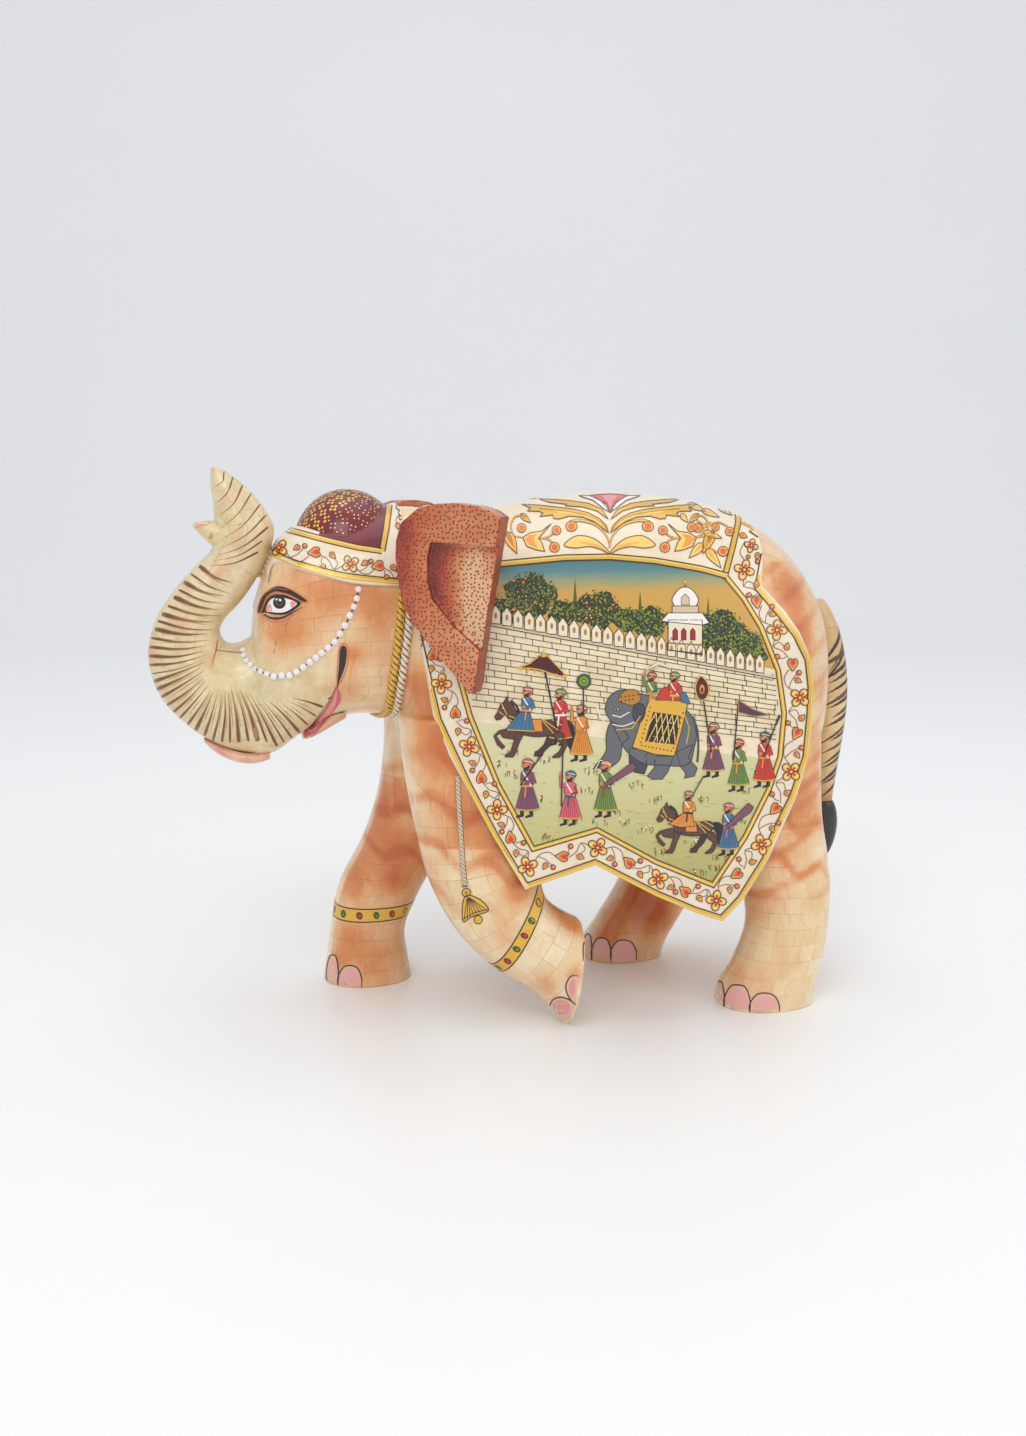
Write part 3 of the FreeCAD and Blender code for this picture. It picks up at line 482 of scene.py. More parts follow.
def level(rows, side, count=64):
    return [sup_ring((cx, side * cy, z), (1, 0, 0), (0, 1, 0), hx, hy, count, 2.25) for z, cx, cy, hx, hy in dense(rows)]


def bent(rows, count=64):
    out = []
    for cx, cz, dx, dz, a, cy, b in dense(rows):
        n = np.array([-dz, 0, dx])
        n /= np.linalg.norm(n)
        out.append(sup_ring((cx, -cy, cz), n, (0, 1, 0), a, b, count, 2.25))
    return out


def trunk_rings(count=56, per=8):
    out = []
    for ix, iz, ox, oz, hw in dense(TRUNK, per):
        c = np.array([(ix + ox) / 2, 0, (iz + oz) / 2])
        h = np.array([ox - ix, 0, oz - iz]) / 2
        out.append(sup_ring(c, h, (0, 1, 0), 1.0, hw, count, 2.15))
    return out


def remesh(me, voxel, smooth, keep_floor=True, flat=None, extra=0):
    o = add_obj("work", me)
    bpy.context.view_layer.objects.active = o
    o.select_set(True)
    me.remesh_voxel_size = voxel
    me.use_remesh_preserve_volume = True
    bpy.ops.object.voxel_remesh()
    me = o.data
    nv = len(me.vertices)
    co = np.zeros(nv * 3)
    me.vertices.foreach_get("co", co)
    co = co.reshape(-1, 3)
    ed = np.zeros(len(me.edges) * 2, np.int64)
    me.edges.foreach_get("vertices", ed)
    ed = ed.reshape(-1, 2)
    cnt = np.bincount(ed.ravel(), minlength=nv).astype(float)[:, None]
    hold = co[:, 2] < 0.0012 if keep_floor else np.zeros(nv, bool)
    if flat is not None:
        hold |= flat(co)
    for k in range(smooth):
        for lam in (0.55, -0.50) if k < smooth - extra else (0.5,):
            s = np.zeros_like(co)
            for a, b in ((0, 1), (1, 0)):
                for ax in range(3):
                    s[:, ax] += np.bincount(ed[:, a], weights=co[ed[:, b], ax], minlength=nv)
            d = s / np.maximum(cnt, 1) - co
            d[hold] *= 0.0
            if lam == 0.5:
                d *= np.clip((co[:, 2:3] - 0.06) / 0.02, 0, 1) * np.clip((co[:, 0:1] + 0.138) / 0.02, 0, 1)
            co = co + lam * d
    if keep_floor:
        co[:, 2] = np.maximum(co[:, 2], 0.0)
    me.vertices.foreach_set("co", co.ravel())
    me.update()
    me.shade_smooth()
    coll.objects.unlink(o)
    bpy.data.objects.remove(o)
    return me


def joined(parts):
    v, f, n = [], [], 0
    for pv, pf in parts:
        v.append(pv)
        f += [tuple(i + n for i in q) for q in pf]
        n += len(pv)
    return np.concatenate(v), f


legl_v, legl_f = tube(bent(FORE_L))
legl = make_mesh("legl", legl_v, legl_f)
bm = bmesh.new()
bm.from_mesh(legl)
t = math.tan(math.radians(8.6))
for co, no in (((0.011, 0, 0), (1, 0, -t)), ((0, 0, 0), (0, 0, -1))):
    geo = bmesh.ops.bisect_plane(bm, geom=bm.verts[:] + bm.edges[:] + bm.faces[:], plane_co=co, plane_no=no, clear_outer=True)
    edges = [e for e in geo["geom_cut"] if isinstance(e, bmesh.types.BMEdge)]
    if edges:
        bmesh.ops.contextual_create(bm, geom=edges)
bmesh.ops.recalc_face_normals(bm, faces=bm.faces)
bm.to_mesh(legl)
bm.free()
legl_v = np.array([v.co for v in legl.vertices]) / MM
legl_f = [tuple(p.vertices) for p in legl.polygons]

parts = [tube(band(TORSO)), tube(band(HEAD)), tube(level(HIND_L, -1)), tube(level(HIND_R, 1)), tube(level(FORE_R, 1)), (legl_v, legl_f), tube(trunk_rings())]
for node in ("ear_root_left", "ear_root_right"):
    # the boss behind each ear, cut back to the ear's front edge
    bm = bmesh.new()
    bm.from_mesh(NODES[node].data)
    bmesh.ops.remove_doubles(bm, verts=bm.verts, dist=3e-6)
    geo = bmesh.ops.bisect_plane(bm, geom=bm.verts[:] + bm.edges[:] + bm.faces[:], plane_co=(-0.0735, 0, 0), plane_no=(-1, 0, 0), clear_outer=True)
    edges = [e for e in geo["geom_cut"] if isinstance(e, bmesh.types.BMEdge)]
    bmesh.ops.contextual_create(bm, geom=edges)
    bmesh.ops.triangulate(bm, faces=bm.faces)
    bm.verts.index_update()
    parts.append((np.array([v.co for v in bm.verts]) / MM, [tuple(v.index for v in f_.verts) for f_ in bm.faces]))
    bm.free()
bv, bf = joined(parts)
body_me = remesh(make_mesh("body_src", bv, bf), 0.0012, 20, extra=15, flat=lambda c: (np.abs(c[:, 0] - 0.011 - t * c[:, 2]) < 0.0012) & (c[:, 2] < 0.06) & (c[:, 1] < -0.02))


def arrays(me):
    co = np.zeros(len(me.vertices) * 3)
    me.vertices.foreach_get("co", co)
    return co.reshape(-1, 3)


def set_float(me, name, val):
    a = me.attributes.new(name, "FLOAT", "POINT")
    a.data.foreach_set("value", np.asarray(val, np.float32))


def set_vec(me, name, val):
    a = me.attributes.new(name, "FLOAT_VECTOR", "POINT")
    a.data.foreach_set("vector", np.asarray(val, np.float32).ravel())


def bvh_of(me):
    co = [v.co.copy() for v in me.vertices]
    me.calc_loop_triangles()
    tris = [tuple(t.vertices) for t in me.loop_triangles]
    return BVHTree.FromPolygons(co, tris, all_triangles=True), me, tris, co


class Target:
    """Surfaces that paint lies on: nearest hit along a ray, with a smooth normal."""

    def __init__(self, meshes):
        self.sets = []
        for me in meshes:
            bvh, me, tris, co = bvh_of(me)
            vn = np.zeros(len(me.vertices) * 3)
            me.vertices.foreach_get("normal", vn)
            self.sets.append((bvh, tris, co, vn.reshape(-1, 3)))

    def _n(self, s, i, p):
        bvh, tris, co, vn = s
        a, b, c = tris[i]
        A, B, C = co[a], co[b], co[c]
        n0 = (B - A).cross(C - A)
        ar = n0.length_squared
        if ar < 1e-22:
            return Vector(vn[a])
        wa = (C - B).cross(p - B).dot(n0) / ar
        wb = (A - C).cross(p - C).dot(n0) / ar
        wc = 1 - wa - wb
        n = Vector(vn[a] * wa + vn[b] * wb + vn[c] * wc)
        return n.normalized() if n.length > 1e-9 else n0.normalized()

    def cast(self, o, d):
        best = None
        for s in self.sets:
            p, n, i, dist = s[0].ray_cast(o, d)
            if p is not None and (best is None or dist < best[0]):
                best = (dist, p, s, i)
        if best is None:
            return None
        n = self._n(best[2], best[3], best[1])
        if n.dot(d) > 0.25:
            n = -n
        return best[1], n

    def near(self, q):
        best = None
        for s in self.sets:
            p, n, i, dist = s[0].find_nearest(q)
            if p is not None and (best is None or dist < best[0]):
                best = (dist, p, s, i)
        return best[1], self._n(best[2], best[3], best[1])


dv, df = [], []
for i in range(33):
    e_ = math.radians(-30 + 120 * i / 32)
    for j in range(72):
        a_ = 2 * math.pi * j / 72
        dv.append((-92.0 + 27.5 * math.cos(e_) * math.cos(a_), 31 * math.cos(e_) * math.sin(a_), 248.5 + 29 * math.sin(e_)))
for i in range(32):
    for j in range(72):
        df.append((i * 72 + j, i * 72 + (j + 1) % 72, (i + 1) * 72 + (j + 1) % 72, (i + 1) * 72 + j))
dome_me = make_mesh("dome_shell", dv, df)
dome_me.shade_smooth()
T_BODY = Target([body_me])
T_HEADTRUNK = Target([body_me, NODES["lower_jaw"].data])
T_CLOTH = Target([NODES[n].data for n in ("caparison_left", "caparison_right", "saddle_cloth")])
T_CAP = Target([NODES["headcloth"].data, dome_me])
T_TIP = Target([NODES["trunk_finger"].data])
T_DOME = Target([dome_me])


# ------------------------------------------------------------------ paint layers
class Paint:
    def __init__(self, name, target, ray=sheet_ray, base=0.10, step=0.035, depth=0.80):
        self.name, self.target, self.ray = name, target, ray
        self.base, self.step, self.depth = base * MM, step * MM, depth
        self.v, self.f, self.m, self.lay = [], [], [], []
        self.mats = []

    def _mat(self, key):
        if key not in self.mats:
            self.mats.append(key)
        return self.mats.index(key)

    def _add(self, pts, faces, key, layer):
        n = len(self.v)
        self.v += [(p[0], p[1]) for p in pts]
        self.lay += [layer] * len(pts)
        m = self._mat(key)
        for q in faces:
            self.f.append(tuple(i + n for i in q))
            self.m.append(m)

    def poly(self, pts, key, layer=1, cell=6.0, outline=None, ow=0.9):
        pts = [tuple(p) for p in pts]
        fine = []
        for i, a in enumerate(pts):
            b = pts[(i + 1) % len(pts)]
            L = math.hypot(b[0] - a[0], b[1] - a[1])
            k = max(1, int(L / (cell * 0.8)))
            for j in range(k):
                fine.append((a[0] + (b[0] - a[0]) * j / k, a[1] + (b[1] - a[1]) * j / k))
        xs, ys = [p[0] for p in fine], [p[1] for p in fine]
        if max(xs) - min(xs) < cell * 1.6 and max(ys) - min(ys) < cell * 1.6:
            tris = tessellate_polygon([[Vector((x, y, 0)) for x, y in fine]])
            self._add(fine, tris, key, layer)
        else:
            inner = []
            y = min(ys) + cell / 2
            row = 0
            while y < max(ys):
                x = min(xs) + cell * (0.5 if row % 2 else 0.25)
                while x < max(xs):
                    inner.append((x, y))
                    x += cell
                y += cell * 0.87
                row += 1
            arr = np.array(fine)
            ok = []
            for x, y in inner:
                c = False
                j = len(fine) - 1
                for i in range(len(fine)):
                    xi, yi = fine[i]
                    xj, yj = fine[j]
                    if (yi > y) != (yj > y) and x < (xj - xi) * (y - yi) / (yj - yi) + xi:
                        c = not c
                    j = i
                if c and np.min(np.hypot(arr[:, 0] - x, arr[:, 1] - y)) > cell * 0.35:
                    ok.append((x, y))
            vs = [Vector(p) for p in fine + ok]
            nb = len(fine)
            out = delaunay_2d_cdt(vs, [(i, (i + 1) % nb) for i in range(nb)], [list(range(nb))], 1, 1e-4)
            self._add([tuple(p) for p in out[0]], [tuple(q) for q in out[2]], key, layer)
        if outline:
            self.line(pts, ow, outline, layer + 1, closed=True)

    def line(self, pts, w, key, layer=2, closed=False, taper=None, step=2.6):
        pts = [Vector((p[0], p[1])) for p in pts]
        if closed:
            pts = pts + [pts[0]]
        fine, t = [pts[0]], [0.0]
        for a, b in zip(pts[:-1], pts[1:]):
            L = (b - a).length
            if L < 1e-6:
                continue
            k = max(1, int(math.ceil(L / step)))
            for j in range(1, k + 1):
                fine.append(a.lerp(b, j / k))
                t.append(t[-1] + L / k)
        n = len(fine)
        if n < 2:
            return
        left, right = [], []
        for i in range(n):
            if closed and i in (0, n - 1):
                d1, d2 = fine[1] - fine[0], fine[-1] - fine[-2]
            else:
                d1 = fine[min(i + 1, n - 1)] - fine[min(i, n - 2)]
                d2 = fine[max(i, 1)] - fine[max(i - 1, 0)]
            d1, d2 = d1.normalized(), d2.normalized()
            d = d1 + d2
            d = d.normalized() if d.length > 1e-6 else d1
            nrm = Vector((-d.y, d.x))
            c = max(0.5, nrm.dot(Vector((-d1.y, d1.x))))
            hw = w / 2 / c
            if taper:
                s = t[i] / t[-1]
                hw *= np.interp(s, taper[0], taper[1])
            left.append(fine[i] + nrm * hw)
            right.append(fine[i] - nrm * hw)
        faces = [(i, i + 1, n + i + 1, n + i) for i in range(n - 1)]
        self._add([tuple(p) for p in left + right], faces, key, layer)

    def disc(self, x, y, r, key, layer=3, ry=None, ang=0.0, n=10, outline=None, ow=0.8):
        ca, sa = math.cos(ang), math.sin(ang)
        ry = ry or r
        pts = []
        for i in range(n):
            a = 2 * math.pi * i / n
            u, v = r * math.cos(a), ry * math.sin(a)
            pts.append((x + u * ca - v * sa, y + u * sa + v * ca))
        self.poly(pts, key, layer, outline=outline, ow=ow)

    def build(self, mirror=True, body="root", slot=None, clip=None):
        out = []
        if not self.v:
            return out
        pos, nor, keep = [], [], []
        for (x, y), lay in zip(self.v, self.lay):
            o, d = self.ray(x, y)
            hit = self.target.cast(o, d)
            if hit is None:
                hit = self.target.near(o + d * self.depth)
            p, n = hit
            pos.append(p + n * (self.base + self.step * lay))
            nor.append(n)
        far = np.array([tuple(p) for p in pos])
        faces, mats = [], []
        for q, m in zip(self.f, self.m):
            pts = far[list(q)]
            if max(np.linalg.norm(pts[i] - pts[i - 1]) for i in range(len(q))) > 0.016:
                continue
            faces.append(q)
            mats.append(m)
        for tag, s in (("", 1), ("_far", -1)):
            if s < 0 and not mirror:
                continue
            me = bpy.data.meshes.new(self.name + tag)
            v = far.copy()
            v[:, 1] *= s
            nn = [Vector((n.x, n.y * s, n.z)) for n in nor]
            # faces wind so that they look outwards
            fl = []
            for q in faces:
                a, b, c = (Vector(v[i]) for i in q[:3])
                w = (b - a).cross(c - a)
                fl.append(tuple(reversed(q)) if w.dot(nn[q[0]]) < 0 else q)
            me.from_pydata([tuple(p) for p in v], [], fl)
            for k in self.mats:
                me.materials.append(P[k])
            me.polygons.foreach_set("material_index", mats)
            me.polygons.foreach_set("use_smooth", [True] * len(me.polygons))
            me.update()
            me.normals_split_custom_set_from_vertices([tuple(n) for n in nn])
            o = bpy.data.objects.new(self.name + tag, me)
            coll.objects.link(o)
            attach(o, body)
            out.append(o)
        return out


def curve(pts, n=10, closed=False):
    """Smooth line through points."""
    p = [Vector(q) for q in pts]
    out = []
    m = len(p)
    segs = m if closed else m - 1
    for i in range(segs):
        a = p[(i - 1) % m] if closed or i > 0 else p[0] * 2 - p[1]
        b, c = p[i], p[(i + 1) % m]
        d = p[(i + 2) % m] if closed or i + 2 < m else p[-1] * 2 - p[-2]
        for k in range(n):
            t = k / n
            out.append(0.5 * ((2 * b) + (c - a) * t + (2 * a - 5 * b + 4 * c - d) * t * t + (3 * b - a - 3 * c + d) * t ** 3))
    if not closed:
        out.append(p[-1])
    return [(q.x, q.y) for q in out]


def leaf_pts(x, y, L, w, ang, n=7, tip=0.35):
    ca, sa = math.cos(ang), math.sin(ang)
    up, dn = [], []
    for i in range(n + 1):
        t = i / n
        h = w / 2 * math.sin(math.pi * t ** (1 - tip))
        up.append((t * L, h))
        dn.append((t * L, -h))
    pts = up + dn[::-1][1:-1]
    return [(x + u * ca - v * sa, y + u * sa + v * ca) for u, v in pts]


def flower(pn, x, y, r, ang, layer=3):
    for k in range(4):
        a = ang + k * math.pi / 2
        cx, cy = x + math.cos(a) * r * 0.62, y + math.sin(a) * r * 0.62
        pn.disc(cx, cy, r * 0.46, "petal", layer, ry=r * 0.40, ang=a, n=12, outline="line", ow=0.9)
        pn.disc(x + math.cos(a) * r * 0.74, y + math.sin(a) * r * 0.74, r * 0.20, "petal_hi", layer + 1, ry=r * 0.26, ang=a, n=8)
        pn.disc(x + math.cos(a) * r * 0.38, y + math.sin(a) * r * 0.38, r * 0.26, "red", layer + 2, ry=r * 0.13, ang=a, n=8)
    pn.disc(x, y, r * 0.13, "petal_hi", layer + 4, n=8)
    pn.line([(x + math.cos(ang + 0.78) * r * 0.16, y + math.sin(ang + 0.78) * r * 0.16), (x - math.cos(ang + 0.78) * r * 0.16, y - math.sin(ang + 0.78) * r * 0.16)], 0.6, "line", layer + 3)


def heart(pn, x, y, r, ang, layer=3):
    ca, sa = math.cos(ang), math.sin(ang)
    base = [(1.15, 0), (0.55, 0.45), (0.0, 0.78), (-0.55, 0.72), (-0.82, 0.38), (-0.62, 0.0), (-0.82, -0.38), (-0.55, -0.72), (0.0, -0.78), (0.55, -0.45)]
    tr = lambda k: [(x + (u * ca - v * sa) * r * k, y + (u * sa + v * ca) * r * k) for u, v in curve(base, 3, True)]
    pn.poly(tr(1.0), "petal", layer, outline="line", ow=0.9)
    pn.poly([(px + ca * -r * 0.12, py + sa * -r * 0.12) for px, py in tr(0.72)], "orange", layer + 1)
    pn.poly([(px + ca * -r * 0.22, py + sa * -r * 0.22) for px, py in tr(0.36)], "red", layer + 2)


def bud(pn, x, y, r, ang, layer=3):
    pn.poly(leaf_pts(x - math.cos(ang) * r, y - math.sin(ang) * r, r * 2.1, r * 1.5, ang, 5), "petal", layer, outline="line", ow=0.8)
    pn.disc(x - math.cos(ang) * r * 0.2, y - math.sin(ang) * r * 0.2, r * 0.42, "orange", layer + 2, n=8)


def berry(pn, x, y, r, layer=3):
    pn.disc(x, y, r, "orange", layer, n=9, outline="line", ow=0.8)
    pn.disc(x + r * 0.25, y - r * 0.25, r * 0.4, "petal", layer + 2, n=7)


def vine_border(pn, flowers, normal_side=1.0, rf=9.6, hearts=None):
    """Flowers along a band, with a heart leaf, buds and berries on thin stems between them."""
    for i, (x, y) in enumerate(flowers):
        a = flowers[max(i - 1, 0)]
        b = flowers[min(i + 1, len(flowers) - 1)]
        ang = math.atan2(b[1] - a[1], b[0] - a[0])
        flower(pn, x, y, rf, ang + math.pi / 4 * (1 if i % 2 else 0.6))
    for i in range(len(flowers) - 1):
        A, B = Vector(flowers[i]), Vector(flowers[i + 1])
        d = B - A
        L = d.length
        u = d / L
        n = Vector((-u.y, u.x)) * normal_side
        at = lambda s, h: tuple(A + u * (L * s) + n * (h * L))
        ang = math.atan2(u.y, u.x)
        H = hearts[i] if hearts and hearts[i] else at(0.50, 0.03)
        heart(pn, H[0], H[1], 6.3, math.atan2(-u.y, -u.x) + 0.35 * normal_side)
        s1 = at(0.20, -0.10)
        bud(pn, *at(0.235, 0.055), 3.6, ang + 2.4)
        berry(pn, *at(0.335, 0.10), 2.5)
        berry(pn, *at(0.645, -0.115), 2.5)
        bud(pn, *at(0.735, 0.06), 3.8, ang + 0.6)
        pn.line(curve([at(0.10, -0.03), at(0.20, -0.115), at(0.33, -0.115), at(0.42, -0.02)], 6), 0.75, "vine", 1)
        pn.line(curve([at(0.17, -0.10), at(0.26, -0.03), at(0.335, 0.085)], 6), 0.7, "vine", 1)
        pn.line(curve([at(0.58, 0.03), at(0.70, -0.02), at(0.80, -0.12), at(0.92, -0.03)], 6), 0.75, "vine", 1)
        pn.line(curve([at(0.60, 0.0), at(0.60, -0.06), at(0.64, -0.105)], 5), 0.7, "vine", 1)
        pn.line(curve([at(0.80, -0.115), at(0.83, -0.03), at(0.75, 0.03)], 5), 0.7, "vine", 1)

# ------------------------------------------------------------------ washes, painted shade and tiles on the skins
def on_sheet(px, py, target=None):
    o, d = sheet_ray(px, py)
    tg = target or T_HEADTRUNK
    hit = tg.cast(o, d) or tg.near(o + d * 0.8)
    return hit[0]


def wash_field(co, blobs):
    """Sum of soft blobs placed on the main view sheet, mirrored to the far side."""
    w = np.zeros(len(co))
    for px, py, r, s in blobs:
        p = on_sheet(px, py)
        for sg in (1, -1):
            if sg == -1 and abs(p.y) < 0.004:
                continue
            d2 = (co[:, 0] - p.x) ** 2 + (co[:, 1] - sg * p.y) ** 2 + (co[:, 2] - p.z) ** 2
            w += s * np.exp(-d2 / (r * 0.00055) ** 2)
    return w


HEAD_BLOBS = [(300, 575, 22, .55), (330, 590, 22, .55), (365, 596, 22, .6), (392, 605, 20, .5), (280, 628, 22, .55), (296, 640, 26, .42), (262, 610, 12, .4), (318, 614, 22, .30), (352, 655, 12, .75), (335, 688, 12, .6), (352, 690, 18, .45), (385, 650, 20, .45), (375, 625, 16, .35), (398, 680, 14, .4), (395, 706, 16, .3), (264, 650, 14, .45)]
NEAR_BLOBS = [(425, 690, 26, 1.0), (440, 730, 24, .9), (455, 760, 22, .7), (425, 760, 22, .45), (450, 800, 20, .45), (478, 815, 22, .75), (500, 850, 20, .9), (520, 890, 18, .9), (552, 905, 16, .9), (572, 925, 14, .8), (430, 870, 18, .35), (455, 845, 16, .35), (505, 935, 14, .4), (545, 985, 14, .55), (520, 985, 14, .45), (575, 975, 10, .55),
              (790, 590, 26, .85), (800, 640, 22, .8), (800, 560, 26, .55), (822, 690, 16, .45), (816, 750, 20, .45), (800, 800, 26, .55), (785, 850, 28, .5), (760, 900, 26, .55), (812, 900, 14, .3), (735, 970, 16, .5), (760, 985, 20, .35), (790, 960, 18, .3)]
FARLEG_BLOBS = [(385, 800, 18, .7), (375, 830, 16, .5), (400, 850, 22, .8), (360, 860, 16, .5), (352, 885, 14, .5), (395, 880, 14, .8), (350, 940, 16, .5), (375, 960, 18, .4), (340, 960, 12, .4), (640, 890, 24, 1.0), (610, 915, 20, .6), (600, 940, 16, .6), (655, 915, 18, .9)]

bco = arrays(body_me)
bn = np.zeros(len(bco) * 3)
body_me.vertices.foreach_get("normal", bn)
bn = bn.reshape(-1, 3)
w = 0.17 + wash_field(bco, HEAD_BLOBS + NEAR_BLOBS)


def one_side(co, blobs):
    s = np.zeros(len(co))
    for px, py, r, k in blobs:
        p = on_sheet(px, py, T_BODY)
        s += k * np.exp(-((co[:, 0] - p.x) ** 2 + (co[:, 1] - p.y) ** 2 + (co[:, 2] - p.z) ** 2) / (r * 0.0006) ** 2)
    return s


w += one_side(bco, FARLEG_BLOBS)
# painted shade: the lower flanks, the belly and the insides of the legs are darkened where the body shades them; the
# rear of the body darkens towards the top
X, Y, Z = bco[:, 0], bco[:, 1], bco[:, 2]
body_zone = (X > -0.066) & (Z > 0.10)
w += np.where(body_zone, 0.30 * np.exp(-((Z - 0.10) / 0.03) ** 2), 0)
legz = (Z < 0.12) & (X > -0.12)
w += np.where(legz & (np.abs(Y) < 0.036), 0.35, 0)
w += np.where(X > 0.08, 0.18 * np.clip((Z - 0.10) / 0.1, 0, 1), 0)
# tiger-like brushed arcs on the upper legs
arc = np.sin((Z + 0.35 * X + 0.004 * np.sin(X * 240)) * 2 * math.pi / 0.024)
leg_w = np.clip((0.165 - Z) / 0.04, 0, 1) * np.clip((Z - 0.055) / 0.02, 0, 1)
w += 0.46 * np.clip(arc, 0, 1) ** 2 * leg_w
arc2 = np.sin((Z - 0.5 * X) * 2 * math.pi / 0.019)
w += np.where((X > 0.09) & (Z > 0.06) & (Z < 0.24), 0.26 * np.clip(arc2, 0, 1) ** 2, 0)


def tile_coords(co):
    """Unrolled coordinates for the bone tiles: round each leg, along the body and head."""
    out = np.zeros((len(co), 3))
    ang = np.arctan2(co[:, 1], co[:, 2] - 0.19)
    out[:, 0] = co[:, 0]
    out[:, 1] = ang * 0.062
    lo = (co[:, 2] < 0.118) & (co[:, 0] > -0.12)
    for rows, side in ((HIND_L, -1), (HIND_R, 1), (FORE_R, 1)):
        r = np.array(rows, float) * MM
        cx = np.interp(co[:, 2], r[:, 0], r[:, 1])
        cy = np.interp(co[:, 2], r[:, 0], r[:, 2]) * side
        m = lo & (np.sign(co[:, 1]) == side) & (np.abs(co[:, 0] - cx) < 0.045)
        a = np.arctan2(co[:, 0] - cx, -side * -1 * (co[:, 1] - cy) * side)
        out[m, 0] = (a * 0.026)[m] + 0.4 * side
        out[m, 1] = co[m, 2]
    m = lo & (co[:, 1] < 0) & (co[:, 0] < 0.05)
    # along the bent fore leg
    path = np.array([(r[0], r[1]) for r in FORE_L], float) * MM
    s = np.r_[0, np.cumsum(np.linalg.norm(np.diff(path, axis=0), axis=1))]
    d = np.linalg.norm(co[m][:, None, [0, 2]] - path[None], axis=2)
    best = np.zeros(m.sum())
    bd = np.full(m.sum(), 9.0)
    off = np.zeros(m.sum())
    for i in range(len(path) - 1):
        a, b = path[i], path[i + 1]
        t_ = np.clip(((co[m][:, [0, 2]] - a) @ (b - a)) / ((b - a) @ (b - a)), 0, 1.6 if i == len(path) - 2 else 1)
        q = a + t_[:, None] * (b - a)
        dd = np.linalg.norm(co[m][:, [0, 2]] - q, axis=1)
        sd = (co[m][:, 0] - a[0]) * (b - a)[1] - (co[m][:, 2] - a[1]) * (b - a)[0]
        u = dd < bd
        bd[u], best[u] = dd[u], (s[i] + t_ * (s[i + 1] - s[i]))[u]
        off[u] = (np.sign(sd) * dd)[u]
    aa = np.arctan2(off, -(co[m][:, 1] + 0.044))
    out[m, 0] = aa * 0.026 - 0.9
    out[m, 1] = best
    return out


tc = tile_coords(bco)
# trunk: tiles run round it; its own khaki ground, also on the fan below the cheek
rings_ = np.array(trunk_rings()) * MM
mid = rings_.mean(1)
sl = np.r_[0, np.cumsum(np.linalg.norm(np.diff(mid, axis=0), axis=1))]
half_t = np.linalg.norm((rings_ - mid[:, None])[:, :, [0, 2]], axis=2).max(1)


def trunk_ratio(pts):
    out_ = np.full(len(pts), 9.0)
    sel = np.where(pts[:, 0] < -0.130)[0]
    for s0 in range(0, len(sel), 4000):
        ii = sel[s0:s0 + 4000]
        dd = np.linalg.norm(pts[ii][:, None, [0, 2]] - mid[None][:, :, [0, 2]], axis=2) / half_t[None]
        out_[ii] = dd.min(1)
    return out_


ratio = trunk_ratio(bco)
zn = on_sheet(258, 655, T_BODY).z
lim = 1.08 + 0.25 * np.clip((zn - bco[:, 2]) / 0.004 + 0.5, 0, 1)
tm = (bco[:, 0] < -0.1385) & (ratio < lim)
w_head = w.copy()
near_i = np.zeros(tm.sum(), int)
tp = bco[tm]
for s0 in range(0, len(tp), 4000):
    near_i[s0:s0 + 4000] = np.linalg.norm(tp[s0:s0 + 4000, None, :] * np.array([1, 0, 1]) - mid[None] * np.array([1, 0, 1]), axis=2).argmin(1)
inner_pt = rings_[:, rings_.shape[1] // 2]
tc[tm, 0] = sl[near_i] * 1.0 + 0.9
tc[tm, 1] = np.linalg.norm(tp[:, [0, 2]] - inner_pt[near_i][:, [0, 2]], axis=1) + 0.003
w[tm] = 0.04 + wash_field(tp, [(213, 660, 10, .3), (205, 530, 14, .3), (262, 580, 12, .35), (150, 655, 12, .45), (165, 600, 12, .35), (170, 706, 14, .3), (195, 545, 10, .3), (210, 470, 8, .25), (240, 745, 12, .4), (265, 540, 10, .3)])
kh = np.clip((-0.130 - bco[:, 0]) / 0.013, 0, 1) * np.clip((lim + 0.05 - ratio) / 0.12, 0, 1)
w = w_head * (1 - kh) + kh * np.where(tm, w, 0.06)
fan = wash_field(bco, [(270, 715, 40, 1.2), (300, 700, 34, 1.0), (320, 690, 20, .7), (285, 735, 26, .8), (258, 690, 24, .8)])
kh = np.clip(np.maximum(kh, fan), 0, 1)
w = w * (1 - 0.5 * np.clip(fan, 0, 1))
set_float(body_me, "khaki", kh)
set_float(body_me, "wash_and_shade", w)
set_vec(body_me, "tile", tc)

# split the carved skin where the blocks are glued, keeping one smooth shading
faces = [tuple(p.vertices) for p in body_me.polygons]
fc = np.array([bco[list(q)].mean(0) for q in faces])
FX, HX, IY, JZ, NECK = -0.002, 0.078, 0.018, 0.165, -0.066
label = np.full(len(faces), "torso_l", dtype=object)
label[fc[:, 1] > 0] = "torso_r"
for nm, m in (
    ("fore_l", (fc[:, 0] < FX + 0.04) & (fc[:, 1] < -IY) & (fc[:, 2] < 0.118)),
    ("fore_r", (fc[:, 0] < FX) & (fc[:, 1] > IY) & (fc[:, 2] < 0.118)),
    ("hind_l", (fc[:, 0] > HX) & (fc[:, 1] < -IY) & (fc[:, 2] < 0.118)),
    ("hind_r", (fc[:, 0] > 0.03) & (fc[:, 1] > IY) & (fc[:, 2] < 0.118)),
):
    belly = (np.abs(fc[:, 1]) < 0.03) & (fc[:, 2] > 0.088)
    label[m & ~belly] = nm
label[(fc[:, 0] < NECK)] = "head"
